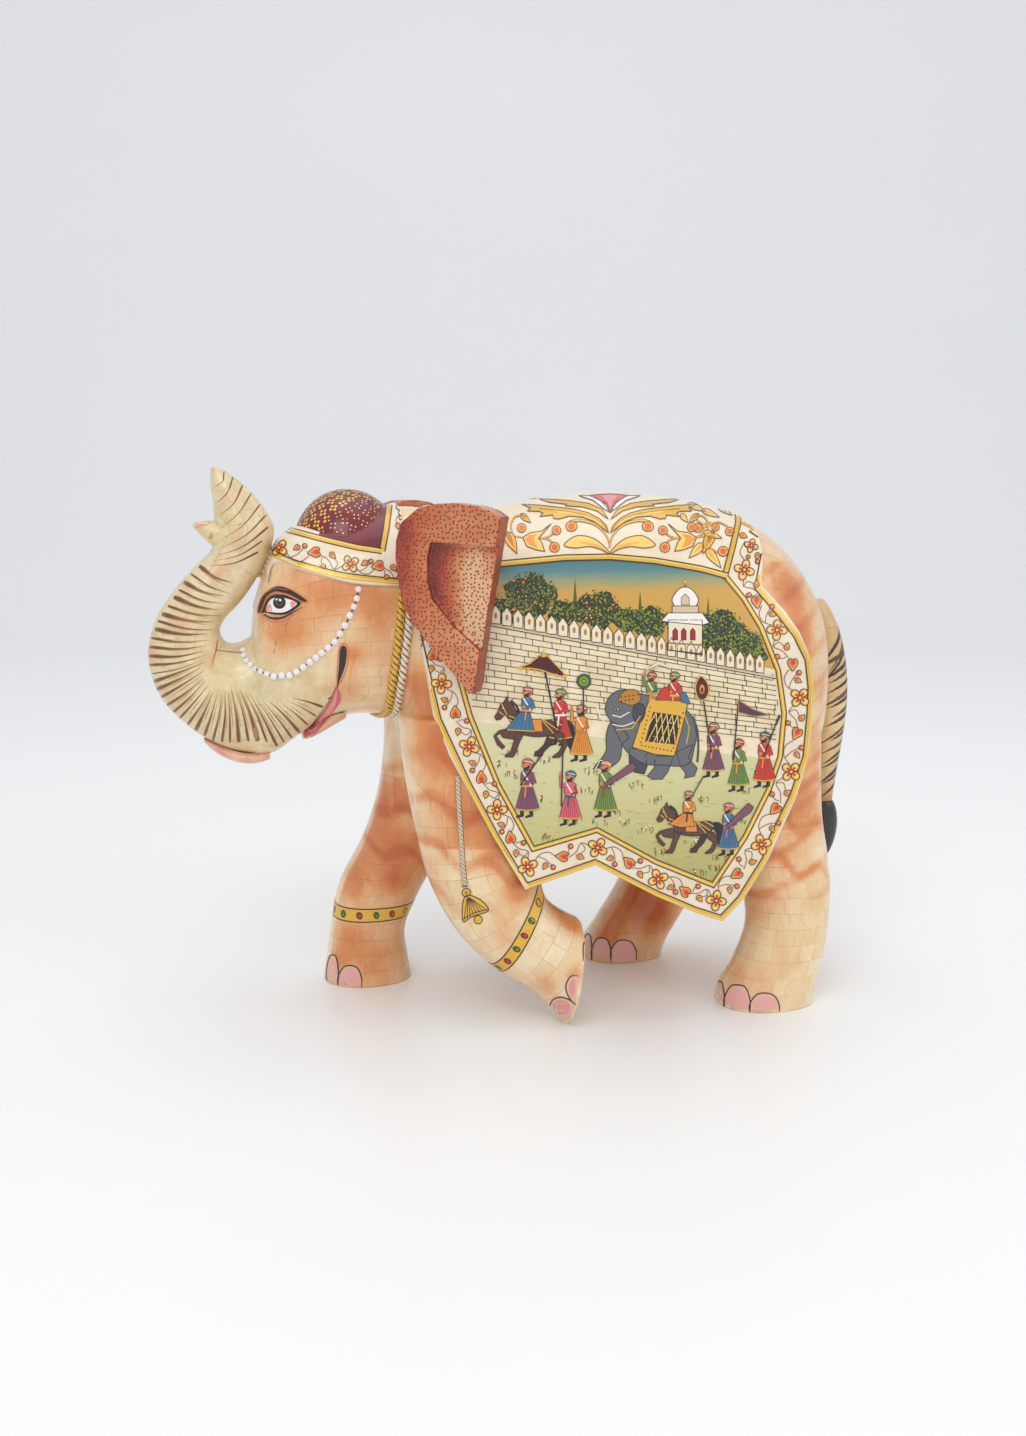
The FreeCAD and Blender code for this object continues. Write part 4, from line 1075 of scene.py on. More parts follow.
label[(fc[:, 0] < NECK) & (fc[:, 2] < 0.13) & (fc[:, 1] > 0) & (fc[:, 0] > -0.12)] = "fore_r"
label[(fc[:, 0] < -0.142) & (trunk_ratio(fc) < 1.25)] = "trunk"
for nm, node in (("torso_l", "torso_veneer_left"), ("torso_r", "torso_veneer_right"), ("fore_l", "fore_leg_left_veneer"), ("fore_r", "fore_leg_right_veneer"), ("hind_l", "hind_leg_left_veneer"), ("hind_r", "hind_leg_right_veneer"), ("head", "head_veneer"), ("trunk", "trunk_veneer")):
    idx = np.where(label == nm)[0]
    used = np.unique(np.concatenate([np.array(faces[i]) for i in idx]))
    remap = {int(u): k for k, u in enumerate(used)}
    me = bpy.data.meshes.new("skin_" + nm)
    me.from_pydata([tuple(c) for c in bco[used]], [], [tuple(remap[v] for v in faces[i]) for i in idx])
    me.polygons.foreach_set("use_smooth", [True] * len(me.polygons))
    me.update()
    me.normals_split_custom_set_from_vertices([tuple(n) for n in bn[used]])
    set_float(me, "wash_and_shade", w[used])
    set_float(me, "khaki", kh[used])
    set_vec(me, "tile", tc[used])
    o = add_obj("skin_" + nm, me, [M_SKIN])
    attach(o, "root")
    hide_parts(node)
for nm, more in (("head", ("head_core", "ear_root_left", "ear_root_right")), ("trunk", ("trunk_core",)), ("fore_l", ("fore_leg_left_core",)), ("fore_r", ("fore_leg_right_core",)), ("hind_l", ("hind_leg_left_core",)), ("hind_r", ("hind_leg_right_core",))):
    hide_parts(*more)

def refined(node, name, mat, bevel=0.0, seg=3, voxel=0.0, smooth=0, angle=35):
    """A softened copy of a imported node, which stands for it."""
    me = NODES[node].data.copy()
    me.materials.clear()
    bm = bmesh.new()
    bm.from_mesh(me)
    bmesh.ops.remove_doubles(bm, verts=bm.verts, dist=2e-6)
    bm.to_mesh(me)
    bm.free()
    if voxel:
        me = remesh(me, voxel, smooth, keep_floor=False)
    o = add_obj(name, me, [mat])
    if bevel:
        md = o.modifiers.new("bevel", "BEVEL")
        md.width, md.segments, md.limit_method, md.angle_limit = bevel, seg, "ANGLE", math.radians(angle)
        md.harden_normals = True
        me.shade_smooth()
    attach(o, "root")
    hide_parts(node)
    return o


def ear_material():
    m, nt, b = new_mat("ear_terracotta")
    vec = obj_vec(nt)
    n1 = noise(nt, vec, 42.0, 5.0, 0.6, 0.8)
    n2 = noise(nt, vec, 230.0, 3.0, 0.6)
    ear_wash_and_shade = N(nt, "ShaderNodeAttribute", attribute_name="wash_and_shade")
    t_ = math_n(nt, "ADD", ear_wash_and_shade.outputs["Fac"], math_n(nt, "MULTIPLY", math_n(nt, "SUBTRACT", n1, 0.5), 0.7))
    t_ = math_n(nt, "ADD", t_, math_n(nt, "MULTIPLY", math_n(nt, "SUBTRACT", n2, 0.5), 0.25))
    col = ramp(nt, t_, [(0.0, lin(224, 172, 128)), (0.30, lin(208, 130, 82)), (0.55, lin(190, 92, 50)), (0.78, lin(164, 62, 30)), (1.0, lin(126, 42, 22))])
    vo = N(nt, "ShaderNodeTexVoronoi", feature="F1")
    vo.inputs["Scale"].default_value = 480.0
    vo.inputs["Randomness"].default_value = 0.72
    vo.voronoi_dimensions = "2D"
    pl = N(nt, "ShaderNodeAttribute", attribute_name="tile")
    nt.links.new(pl.outputs["Vector"], vo.inputs["Vector"])
    dot = mapr(nt, vo.outputs["Distance"], 0.19, 0.29, 1.0, 0.0)
    col = mix(nt, math_n(nt, "MULTIPLY", dot, 0.88), col, lin(88, 34, 26))
    nt.links.new(col, b.inputs["Base Color"])
    varnish(b, 0.35, 0.36)
    nt.links.new(mapr(nt, n2, 0.3, 0.7, 0.3, 0.44), b.inputs["Roughness"])
    bump(nt, b, math_n(nt, "SUBTRACT", n1, math_n(nt, "MULTIPLY", dot, 0.25)), 0.25, 0.0004)
    return m


M_EAR = ear_material()
for side, node in ((-1, "ear_left"), (1, "ear_right")):
    o = refined(node, node + "_board", M_EAR, voxel=0.0009, smooth=3)
    me = o.data
    co = arrays(me)
    # distance from the front edge of the ear, in the ear's own plane
    th = math.radians(36.0)
    u = (co[:, 0] + 0.077) * math.cos(th) + (np.abs(co[:, 1]) - 0.055) * math.sin(th)
    nrm = (np.abs(co[:, 1]) - 0.055) * math.cos(th) - (co[:, 0] + 0.077) * math.sin(th)
    z = co[:, 2]
    top = nrm.max()
    rec = (nrm < top - 0.0016) & (nrm > top - 0.0062) & (u > 0.014)
    # ear colour value: darker near the front edge, and in the recess behind the raised front rim as painted shade;
    # paler towards the back of the recess and in two patches; dark on the rear end face
    ws = 0.38 + 0.35 * np.exp(-((u - 0.004) / 0.008) ** 2) + 0.15 * np.exp(-((z - 0.262) / 0.012) ** 2)
    ws += np.where(rec, 0.42 * np.exp(-((u - 0.018) / 0.016) ** 2) + 0.16, 0.0)
    ws += np.where(rec, 0.25 * np.exp(-((z - 0.250) / 0.006) ** 2), 0.0)
    ws += 0.4 * np.clip((u - 0.040) / 0.012, 0, 1) * (nrm < top - 0.0022)
    ws -= 0.28 * np.exp(-((u - 0.046) / 0.012) ** 2) * np.exp(-((z - 0.222) / 0.03) ** 2)
    ws -= 0.22 * np.exp(-((u - 0.038) / 0.012) ** 2) * np.exp(-((z - 0.262) / 0.007) ** 2)
    ws -= np.where(rec, 0.55 * np.clip((u - 0.020) / 0.018, 0, 1), 0)
    vn = np.zeros(len(co) * 3)
    me.vertices.foreach_get("normal", vn)
    vn = vn.reshape(-1, 3)
    end_ = vn[:, 0] * math.cos(th) + vn[:, 1] * np.sign(co[:, 1]) * math.sin(th)
    ws = np.where((end_ > 0.6) & (u > 0.03), 0.86, ws)
    set_float(me, "wash_and_shade", ws)
    set_vec(me, "tile", np.stack([u + nrm, z + nrm, nrm * 0], 1))

# maroon dome
M_DOME = two_tone("dome_maroon", lin(134, 18, 40), lin(98, 10, 30), 60.0)
M_TUFT = two_tone("tail_black", lin(30, 24, 26), lin(52, 44, 44), 500.0, (1, 1, 0.2))
M_PINK = two_tone("lip_pink", lin(228, 186, 154), lin(218, 152, 132), 90.0, (1, 1, 1), (lin(232, 204, 170), 60.0, 0.52))
M_PINKHOT = two_tone("jaw_cream", lin(228, 190, 146), lin(214, 156, 106), 70.0)
M_TIP = two_tone("tip_khaki", lin(214, 192, 142), lin(226, 206, 160), 90.0, (1, 1, 1), (lin(190, 150, 96), 120.0, 0.60))
for side in ("left", "right"):
    NODES["caparison_" + side].data.materials.clear()
    NODES["caparison_" + side].data.materials.append(M_CREAM)
for nm, mt in (("saddle_cloth", M_CREAM), ("headcloth", M_CREAM), ("crown_dome", M_DOME), ("lower_jaw", M_PINKHOT), ("trunk_lip", M_PINK), ("trunk_finger", M_TIP), ("tail_tuft", M_TUFT)):
    NODES[nm].data.materials.clear()
    NODES[nm].data.materials.append(mt)
for nm, o in NODES.items():
    if nm.endswith("_core"):
        o.data.materials.clear()
        o.data.materials.append(M_WOOD)
    if "dowel" in nm or nm in ("ear_pin", "tail_peg"):
        o.data.materials.clear()
        o.data.materials.append(M_DOWEL)
    if nm.startswith("ear_root"):
        o.data.materials.clear()
        o.data.materials.append(two_tone("ear_root_" + nm[-4:], lin(190, 108, 62), lin(160, 74, 40), 50.0))

dome_o = add_obj("dome_shell", dome_me, [M_DOME])
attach(dome_o, "root")
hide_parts("crown_dome")
tailo = refined("tail", "tail_skin", M_TAIL, voxel=0.0007, smooth=3)
for ob in (tailo,):
    for v_ in ob.data.vertices:
        t_ = min(1.0, max(0.0, (0.2 - v_.co.z) / 0.09))
        v_.co.z -= 0.005 * t_
    ob.data.update()
tcoo = arrays(tailo.data)
set_vec(tailo.data, "tile", np.stack([tcoo[:, 0], tcoo[:, 2], tcoo[:, 1]], 1))
# tail colour value: darker at the root as painted shade where the rump meets it, and darker just above the tuft
set_float(tailo.data, "wash_and_shade", 0.12 + 0.35 * np.exp(-((tcoo[:, 2] - 0.205) / 0.02) ** 2) + 0.9 * np.clip((0.112 - tcoo[:, 2]) / 0.012, 0, 1))
tuft = refined("tail_tuft", "tail_tuft_brush", M_TUFT, voxel=0.0007, smooth=4)

for v_ in tuft.data.vertices:
    v_.co.z -= 0.005
tuft.data.update()

# ------------------------------------------------------------------ painted cloth
OUTER = [(396, 500), (399, 560), (413, 622), (436, 720), (465, 783), (494, 838), (525, 889), (595, 865), (656, 896), (694, 912), (722, 921), (742, 900), (767, 860), (774, 839), (795, 796), (808, 757), (812, 713), (813, 687), (810, 659), (798, 634), (782, 613), (760, 587), (764, 566), (768, 546), (762, 534), (752, 527)]
INNER = [(436, 560), (449, 640), (470, 716), (498, 785), (533, 849), (597, 830), (656, 862), (713, 885), (745, 837), (769, 789), (780, 757), (784, 713), (778, 670), (761, 627), (744, 599), (726, 577)]
TOPLINE = [(420, 566), (460, 565), (501, 564), (564, 558), (610, 557), (655, 561), (701, 569), (727, 576)]


def inset(pts, d, closed=False):
    """Offset a line to its left by d."""
    p = [Vector(q) for q in pts]
    out = []
    n = len(p)
    for i in range(n):
        a = p[(i - 1) % n] if closed else p[max(i - 1, 0)]
        c = p[(i + 1) % n] if closed else p[min(i + 1, n - 1)]
        d1 = (p[i] - a).normalized() if (p[i] - a).length > 1e-6 else (c - p[i]).normalized()
        d2 = (c - p[i]).normalized() if (c - p[i]).length > 1e-6 else d1
        t_ = (d1 + d2).normalized()
        nn = Vector((-t_.y, t_.x))
        k = max(0.45, nn.dot(Vector((-d1.y, d1.x))))
        q = p[i] + nn * (d / k)
        out.append((q.x, q.y))
    return out


cloth = Paint("caparison_border", T_CLOTH, base=0.20, step=0.05)
cloth.line(inset(OUTER, -2.3), 4.6, "gold", 1)
# the thin pale gold lines along the gold bands below are painted highlight
cloth.line(inset(OUTER, -1.4), 1.0, "gold_pale_and_highlight", 2)
cloth.line(inset(OUTER, -5.2), 1.2, "line", 2)
cloth.line(inset(INNER, 2.2), 1.1, "line", 2)
cloth.line(INNER, 3.8, "gold", 1)
cloth.line(INNER, 1.0, "gold_pale_and_highlight", 2)
cloth.line(inset(INNER, -2.4), 1.1, "line", 3)
cloth.line(TOPLINE, 4.4, "gold", 2)
cloth.line(inset(TOPLINE, -1.0), 1.0, "gold_pale_and_highlight", 3)
cloth.line(inset(TOPLINE, -2.8), 1.1, "line", 3)
cloth.line(inset(TOPLINE, 2.8), 1.3, "line", 3)
# line between the saddle panel and the rear band, over the back
REAR = [(735, 508), (738, 516), (738, 523), (733, 545), (725, 575)]
cloth.line(REAR, 4.2, "gold", 2)
cloth.line(inset(REAR, 2.6), 1.1, "line", 3)
cloth.line(inset(REAR, -2.6), 1.1, "line", 3)
cloth.line(inset([(770, 550), (765, 536), (754, 528), (742, 522)], -0.5), 2.6, "gold", 2)
FL = [(428, 560), (418, 622), (441.7, 683.6), (469.3, 746.4), (497, 809.5), (527.6, 866.5), (597.5, 847.5), (658, 879), (716, 900.5), (761, 844.3), (790.7, 771.7), (799.4, 697.6), (776.6, 630.1), (744, 570.1)]
HE = [None, (433, 655), (455.5, 712.9), (481.3, 777.9), (510.4, 837.8), (562.6, 856.4), (628.8, 862.7), (685, 891.5), (736.9, 873.8), (775.4, 808.5), (796.6, 733), (792.4, 663.8), (756.5, 601.3)]
vine_border(cloth, FL, 1.0, 9.6, HE)
for x, y, r_, a in ((751, 546, 6.5, 0.3),):
    flower(cloth, x, y, r_, a)
bud(cloth, 757, 556, 3.4, 1.9)
berry(cloth, 757, 562, 2.2)
berry(cloth, 748, 557, 2.0)
bud(cloth, 743, 536, 3.8, 0.4)
cloth.line(curve([(744, 560), (740, 552), (745, 541)], 6), 0.7, "vine", 1)
cloth.build(slot="painted_cloth")

# ------------------------------------------------------------------ saddle scrolls
sad = Paint("saddle_scrolls", T_CLOTH, base=0.14, step=0.05)
MX = 609.6


def S(pts):
    return [(490 + x / 5.058, 480 + y / 5.058) for x, y in pts]


def both(fn):
    for sgn in (1, -1):
        fn(lambda pts, s=sgn: [(MX + (x - MX) * s, y) for x, y in pts])


def scroll_half(mr):
    # lower long leaf
    a = mr(S(curve([(608, 378), (575, 335), (520, 295), (450, 282), (405, 300), (375, 332), (430, 345), (500, 338), (560, 352)], 4, True)))
    sad.poly(a, "petal_hi", 2, cell=4, outline="brown", ow=0.9)
    sad.poly(mr(S(curve([(600, 372), (560, 335), (500, 318), (450, 318), (500, 330), (560, 348)], 4, True))), "petal", 3, cell=4)
    # volute
    st = mr(S(curve([(608, 345), (590, 285), (545, 235), (490, 212), (440, 206), (402, 216)], 6)))
    sad.line(st, 3.6, "brown", 2, taper=([0, 1], [0.35, 1.0]))
    sad.line(st, 2.2, "petal", 3, taper=([0, 1], [0.35, 1.0]))
    c = mr(S([(412, 236)]))[0]
    sad.disc(c[0], c[1], 5.6, "petal", 3, ry=4.9, n=16, outline="brown", ow=0.8)
    sad.disc(c[0], c[1], 3.4, "orange", 5, n=12)
    # large acanthus
    ac = [(600, 268), (588, 232), (552, 196), (500, 168), (430, 150), (350, 140), (262, 130), (160, 124), (205, 142), (190, 158), (250, 160), (268, 170), (252, 186), (318, 178), (322, 196), (352, 198), (400, 184), (470, 190), (525, 212), (568, 244)]
    sad.poly(mr(S(ac)), "gold", 2, cell=4, outline="brown", ow=0.9)
    sad.poly(mr(S([(592, 245), (552, 208), (490, 182), (400, 164), (300, 152), (360, 170), (450, 178), (530, 206)])), "petal_hi", 3, cell=4)
    sad.line(mr(S(curve([(598, 262), (560, 215), (490, 180), (380, 160), (250, 146)], 5))), 0.8, "gold_lo", 4)
    # upper thin acanthus
    up_ = [(598, 200), (566, 150), (500, 120), (420, 108), (330, 100), (245, 96), (300, 114), (390, 124), (380, 132), (470, 138), (540, 158)]
    sad.poly(mr(S(up_)), "gold", 2, cell=4, outline="brown", ow=0.8)
    # white petal and rose bud at the ridge
    sad.poly(mr(S([(604, 165), (580, 150), (520, 104), (470, 88), (450, 80), (520, 82), (565, 112), (590, 140)])), "white", 3, cell=4, outline="brown", ow=0.8)
    # side lotus
    lo_ = [(310, 222), (262, 260), (205, 268), (166, 292), (186, 336), (232, 354), (276, 362), (262, 318), (245, 296), (275, 262)]
    sad.poly(mr(S(lo_)), "petal_hi", 2, cell=4, outline="brown", ow=0.9)
    sad.poly(mr(S([(240, 275), (200, 280), (176, 300), (200, 330), (240, 345), (225, 315), (222, 292)])), "orange_hi", 3, cell=4)
    for (x0, y0), rr, path in (((336, 256), 4.4, [(245, 296), (290, 290), (320, 272)]), ((326, 342), 4.9, [(245, 296), (290, 300), (318, 318)]), ((160, 244), 4.3, [(165, 292), (120, 280), (105, 230), (125, 190), (150, 180)])):
        q = mr(S([(x0, y0)]))[0]
        sad.line(mr(S(curve(path, 6))), 2.2, "brown", 2, taper=([0, 1], [0.5, 1]))
        sad.line(mr(S(curve(path, 6))), 1.2, "petal", 3, taper=([0, 1], [0.5, 1]))
        sad.disc(q[0], q[1], rr, "petal", 3, n=14, outline="brown", ow=0.8)
        sad.disc(q[0], q[1], rr * 0.62, "orange", 5, n=12)
    for a_, b_ in (((155, 172), (205, 218)), ((84, 262), (136, 374))):
        p0, p1 = mr(S([a_]))[0], mr(S([b_]))[0]
        L = math.hypot(p1[0] - p0[0], p1[1] - p0[1])
        an = math.atan2(p1[1] - p0[1], p1[0] - p0[0])
        sad.poly(leaf_pts(p0[0], p0[1], L, L * 0.42, an), "petal", 2, cell=4, outline="brown", ow=0.8)
        sad.poly(leaf_pts(p0[0], p0[1], L * 0.7, L * 0.2, an), "gold_lo", 3, cell=4)


both(scroll_half)
# rose tulip on the ridge
sad.poly(S([(500, 80), (560, 74), (606, 72), (650, 74), (700, 80), (640, 112), (612, 165), (588, 120)]), "rose", 2, cell=4, outline="brown", ow=0.8)
sad.poly(S([(560, 82), (606, 78), (650, 82), (622, 110), (608, 150), (594, 112)]), "pink", 3, cell=4)
# spray towards the rear corner
for a_, b_, wdt in (((965, 172), (998, 215), .5), ((1078, 262), (1172, 296), .34), ((1080, 320), (1005, 396), .4), ((1092, 345), (1168, 446), .34), ((1070, 150), (1160, 190), .3), ((1000, 120), (1090, 160), .3), ((1150, 130), (1225, 180), .3)):
    p0, p1 = S([a_])[0], S([b_])[0]
    L = math.hypot(p1[0] - p0[0], p1[1] - p0[1])
    an = math.atan2(p1[1] - p0[1], p1[0] - p0[0])
    sad.poly(leaf_pts(p0[0], p0[1], L, L * wdt, an), "petal_hi", 2, cell=4, outline="brown", ow=0.8)
    sad.poly(leaf_pts(p0[0], p0[1], L * 0.7, L * wdt * 0.45, an), "petal", 3, cell=4)
for (x0, y0), rr, path in (((1020, 240), 4.6, [(1030, 300), (1075, 270), (1080, 230), (1045, 205)]), ((1140, 240), 3.8, [(1075, 240), (1100, 215), (1130, 225)]), ((1212, 262), 4.4, [(1080, 240), (1150, 215), (1200, 235)]), ((1178, 362), 5.0, [(1090, 300), (1110, 340), (1150, 368)])):
    q = S([(x0, y0)])[0]
    sad.line(S(curve(path, 6)), 2.0, "brown", 2)
    sad.line(S(curve(path, 6)), 1.1, "petal", 3)
    sad.disc(q[0], q[1], rr, "petal", 3, n=14, outline="brown", ow=0.8)
    sad.disc(q[0], q[1], rr * 0.6, "orange", 5, n=12)
sad.build(slot="painted_cloth")

# ------------------------------------------------------------------ the painted procession
field = Paint("procession_ground", T_CLOTH, base=0.08, step=0.03)
INP = inset(INNER, -0.5)
PANEL = INP + [(701, 570), (655, 563), (610, 559), (564, 560), (501, 566), (460, 567), (436, 568)]


def clip_poly(pts, keep):
    """Keeps the part of a polygon where keep(x, y) = a*x + b*y + c >= 0."""
    a, b, c = keep
    out = []
    for i in range(len(pts)):
        p, q = pts[i], pts[(i + 1) % len(pts)]
        dp, dq = a * p[0] + b * p[1] + c, a * q[0] + b * q[1] + c
        if dp >= 0:
            out.append(p)
        if (dp >= 0) != (dq >= 0):
            t_ = dp / (dp - dq)
            out.append((p[0] + (q[0] - p[0]) * t_, p[1] + (q[1] - p[1]) * t_))
    return out


def below(x0, y0, x1, y1):
    """Half plane under a line on the sheet."""
    k = (y1 - y0) / (x1 - x0)
    return (-k, 1.0, k * x0 - y0)


def above(x0, y0, x1, y1):
    a, b, c = below(x0, y0, x1, y1)
    return (-a, -b, -c)


sky = clip_poly(PANEL, above(440, 640, 790, 690))
wall = clip_poly(clip_poly(PANEL, below(440, 610, 790, 672)), above(440, 722, 790, 768))
ground = clip_poly(PANEL, below(440, 717, 790, 762))
field.poly(sky, "sky", 1, cell=4)
field.poly(wall, "wall", 2, cell=4)
field.poly(ground, "meadow", 3, cell=4)
field.build(slot="painted_cloth")

mini = Paint("procession_figures", T_CLOTH, base=0.24, step=0.018)


def inside(poly, x, y):
    c = False
    j = len(poly) - 1
    for i in range(len(poly)):
        xi, yi = poly[i]
        xj, yj = poly[j]
        if (yi > y) != (yj > y) and x < (xj - xi) * (y - yi) / (yj - yi) + xi:
            c = not c
        j = i
    return c


SAFE = inset(INNER, -4.0) + [(720, 578), (700, 573), (655, 566), (610, 562), (564, 563), (501, 569), (440, 571)]
# cypresses behind
for x, y0, h in ((575, 618, 40), (640, 625, 34), (708, 640, 44), (735, 650, 36), (520, 606, 34)):
    mini.poly([(x - 2.6, y0), (x - 1.6, y0 - h * 0.5), (x, y0 - h), (x + 1.6, y0 - h * 0.5), (x + 2.6, y0)], "green_lo", 0, cell=5)


def tree(x, y, r, fruit):
    pts = []
    for i in range(30):
        a = 2 * math.pi * i / 30
        k = 1 + 0.10 * math.sin(a * 5 + x) + 0.05 * math.sin(a * 11)
        pts.append((x + math.cos(a) * r * k, y + math.sin(a) * r * 0.82 * k))
    pts = [(px, py) if inside(SAFE, px, py) else None for px, py in pts]
    pts = [p for p in pts if p]
    if len(pts) > 6:
        mini.poly(pts, "tree", 1, cell=5)
    for i in range(int(r * 5.2)):
        a, q = rnd.random() * 6.283, r * math.sqrt(rnd.random()) * 1.02
        px, py = x + math.cos(a) * q, y + math.sin(a) * q * 0.84
        if inside(SAFE, px, py):
            key = fruit if rnd.random() < 0.3 else ("leaf" if rnd.random() < 0.62 else "green")
            mini.disc(px, py, 0.55 + rnd.random() * 0.7, key, 2, n=5)
    for i in range(int(r * 2.2)):
        a = rnd.random() * 6.283
        px, py = x + math.cos(a) * r * (1.0 + 0.12 * rnd.random()), y + math.sin(a) * r * 0.84 * (1.0 + 0.1 * rnd.random())
        if inside(SAFE, px, py) and math.sin(a) < 0.4:
            mini.disc(px, py, 0.7, "leaf_dk", 2, n=5)


for x, y, r_, fr in ((530, 596, 26, "amber"), (508, 612, 16, "amber"), (598, 610, 22, "orange_hi"), (565, 614, 16, "leaf"), (628, 620, 14, "leaf"), (650, 622, 18, "green"), (718, 632, 26, "leaf"), (745, 644, 17, "leaf"), (700, 640, 16, "green"), (762, 652, 10, "leaf"), (478, 600, 20, "amber"), (455, 604, 14, "leaf")):
    tree(x, y, r_, fr)


# wall: coping line, merlons, brick courses
def wl(x, off=0.0):
    return 615 + (x - 495) * 0.185 + off


x = 446.0
while x < 782:
    y = wl(x)
    w_ = 9.6 if x < 640 else 8.2
    if inside(SAFE, x, y - 6) and inside(SAFE, x + w_, y):
        mini.poly([(x, y + 9), (x, y - 3), (x + w_ * 0.5, y - 10 + w_ * 0.1), (x + w_, y - 2), (x + w_, y + 10)], "cream", 4, cell=5, outline="line", ow=0.8)
        mini.disc(x + w_ / 2, y + 1.5, 1.5, "tan", 6, ry=3.2, n=8)
    x += w_ + 1.6
mini.line([(446, wl(446, 10.5)), (784, wl(784, 10.5))] if False else [(x_, wl(x_, 10.5)) for x_ in range(448, 778, 8)], 1.6, "cream_lo", 6)
mini.line([(x_, wl(x_, 11.8)) for x_ in range(448, 780, 8)], 0.8, "line", 7)
row = 0
y_off = 18.0
while y_off < 98:
    pts = [(x_, wl(x_, y_off) - (x_ - 495) * 0.0008 * y_off) for x_ in range(444, 786, 4)]
    pts = [p for p in pts if inside(SAFE, *p)]
    if len(pts) > 2:
        mini.line(pts, 0.65, "umber", 4, step=5)
    x = 446 + (row % 2) * 9 + rnd.random() * 4
    while x < 782:
        a_ = (x, wl(x, y_off - 6.3) - (x - 495) * 0.0008 * y_off)
        b_ = (x + 0.4, wl(x, y_off) - (x - 495) * 0.0008 * y_off)
        if inside(SAFE, *a_) and inside(SAFE, *b_):
            mini.line([a_, b_], 0.65, "umber", 4)
        x += 17 + rnd.random() * 4
    y_off += 6.3
    row += 1

# domed pavilion behind the wall
mini.poly([(668, 650), (668, 620), (702, 620), (702, 655)], "cream", 5, cell=5, outline="line", ow=0.8)
mini.poly([(661, 621), (668, 613), (702, 613), (709, 623), (702, 625), (668, 622)], "white", 6, cell=5, outline="line", ow=0.8)
mini.poly([(672, 613), (672, 606), (698, 606), (698, 613)], "cream_lo", 6, cell=5, outline="line", ow=0.7)
mini.poly(curve([(674, 606), (672, 599), (678, 590), (685, 587), (692, 590), (698, 599), (696, 606)], 4), "white", 6, cell=5, outline="line", ow=0.8)
mini.poly([(683.5, 588), (685, 578), (686.5, 588)], "gold_lo", 7)
mini.disc(685, 582, 1.6, "gold", 8, n=8)
mini.poly([(681, 605), (681, 598), (685, 594), (689, 598), (689, 605)], "cream_lo", 8, outline="line", ow=0.6)
for xx in (672.5, 681, 690):
    mini.poly([(xx, 640), (xx, 631), (xx + 2.5, 628), (xx + 5, 631), (xx + 5, 640)], "crimson", 7, outline="line", ow=0.6)
mini.line([(668, 643), (702, 645)], 1.8, "tan", 7)
mini.line([(668, 650), (702, 654)], 1.2, "line", 7)

# flower tufts on the meadow
for x, y in ((512, 752), (545, 760), (510, 775), (592, 772), (636, 785), (645, 830), (536, 800), (615, 812), (655, 800), (700, 800), (575, 820), (545, 838), (560, 843), (600, 822), (690, 842), (712, 868), (700, 872), (720, 858), (740, 820), (748, 790), (625, 823), (585, 790), (500, 765), (662, 852), (760, 770)):
    if not inside(SAFE, x, y):
        continue
    for k in range(7):
        dx, dy = rnd.uniform(-7, 7), rnd.uniform(-2, 2)
        mini.line([(x + dx, y + dy + 2.5), (x + dx + rnd.uniform(-1.5, 1.5), y + dy - 1.5)], 0.6, "green_lo", 1)
        if k % 2 == 0:
            mini.disc(x + dx, y + dy - 2.4, 0.95, "red" if rnd.random() < 0.7 else "white", 2, n=6)
for k in range(170):
    x, y = rnd.uniform(490, 775), rnd.uniform(735, 880)
    if inside(SAFE, x, y):
        L = rnd.uniform(4, 12)
        if inside(SAFE, x + L, y):
            mini.line([(x, y), (x + L, y + rnd.uniform(-0.8, 0.8))], rnd.uniform(0.4, 0.8), "leaf" if rnd.random() < 0.4 else "ochre" if rnd.random() < 0.3 else "green", 0, taper=([0, .5, 1], [0, 1, 0]))


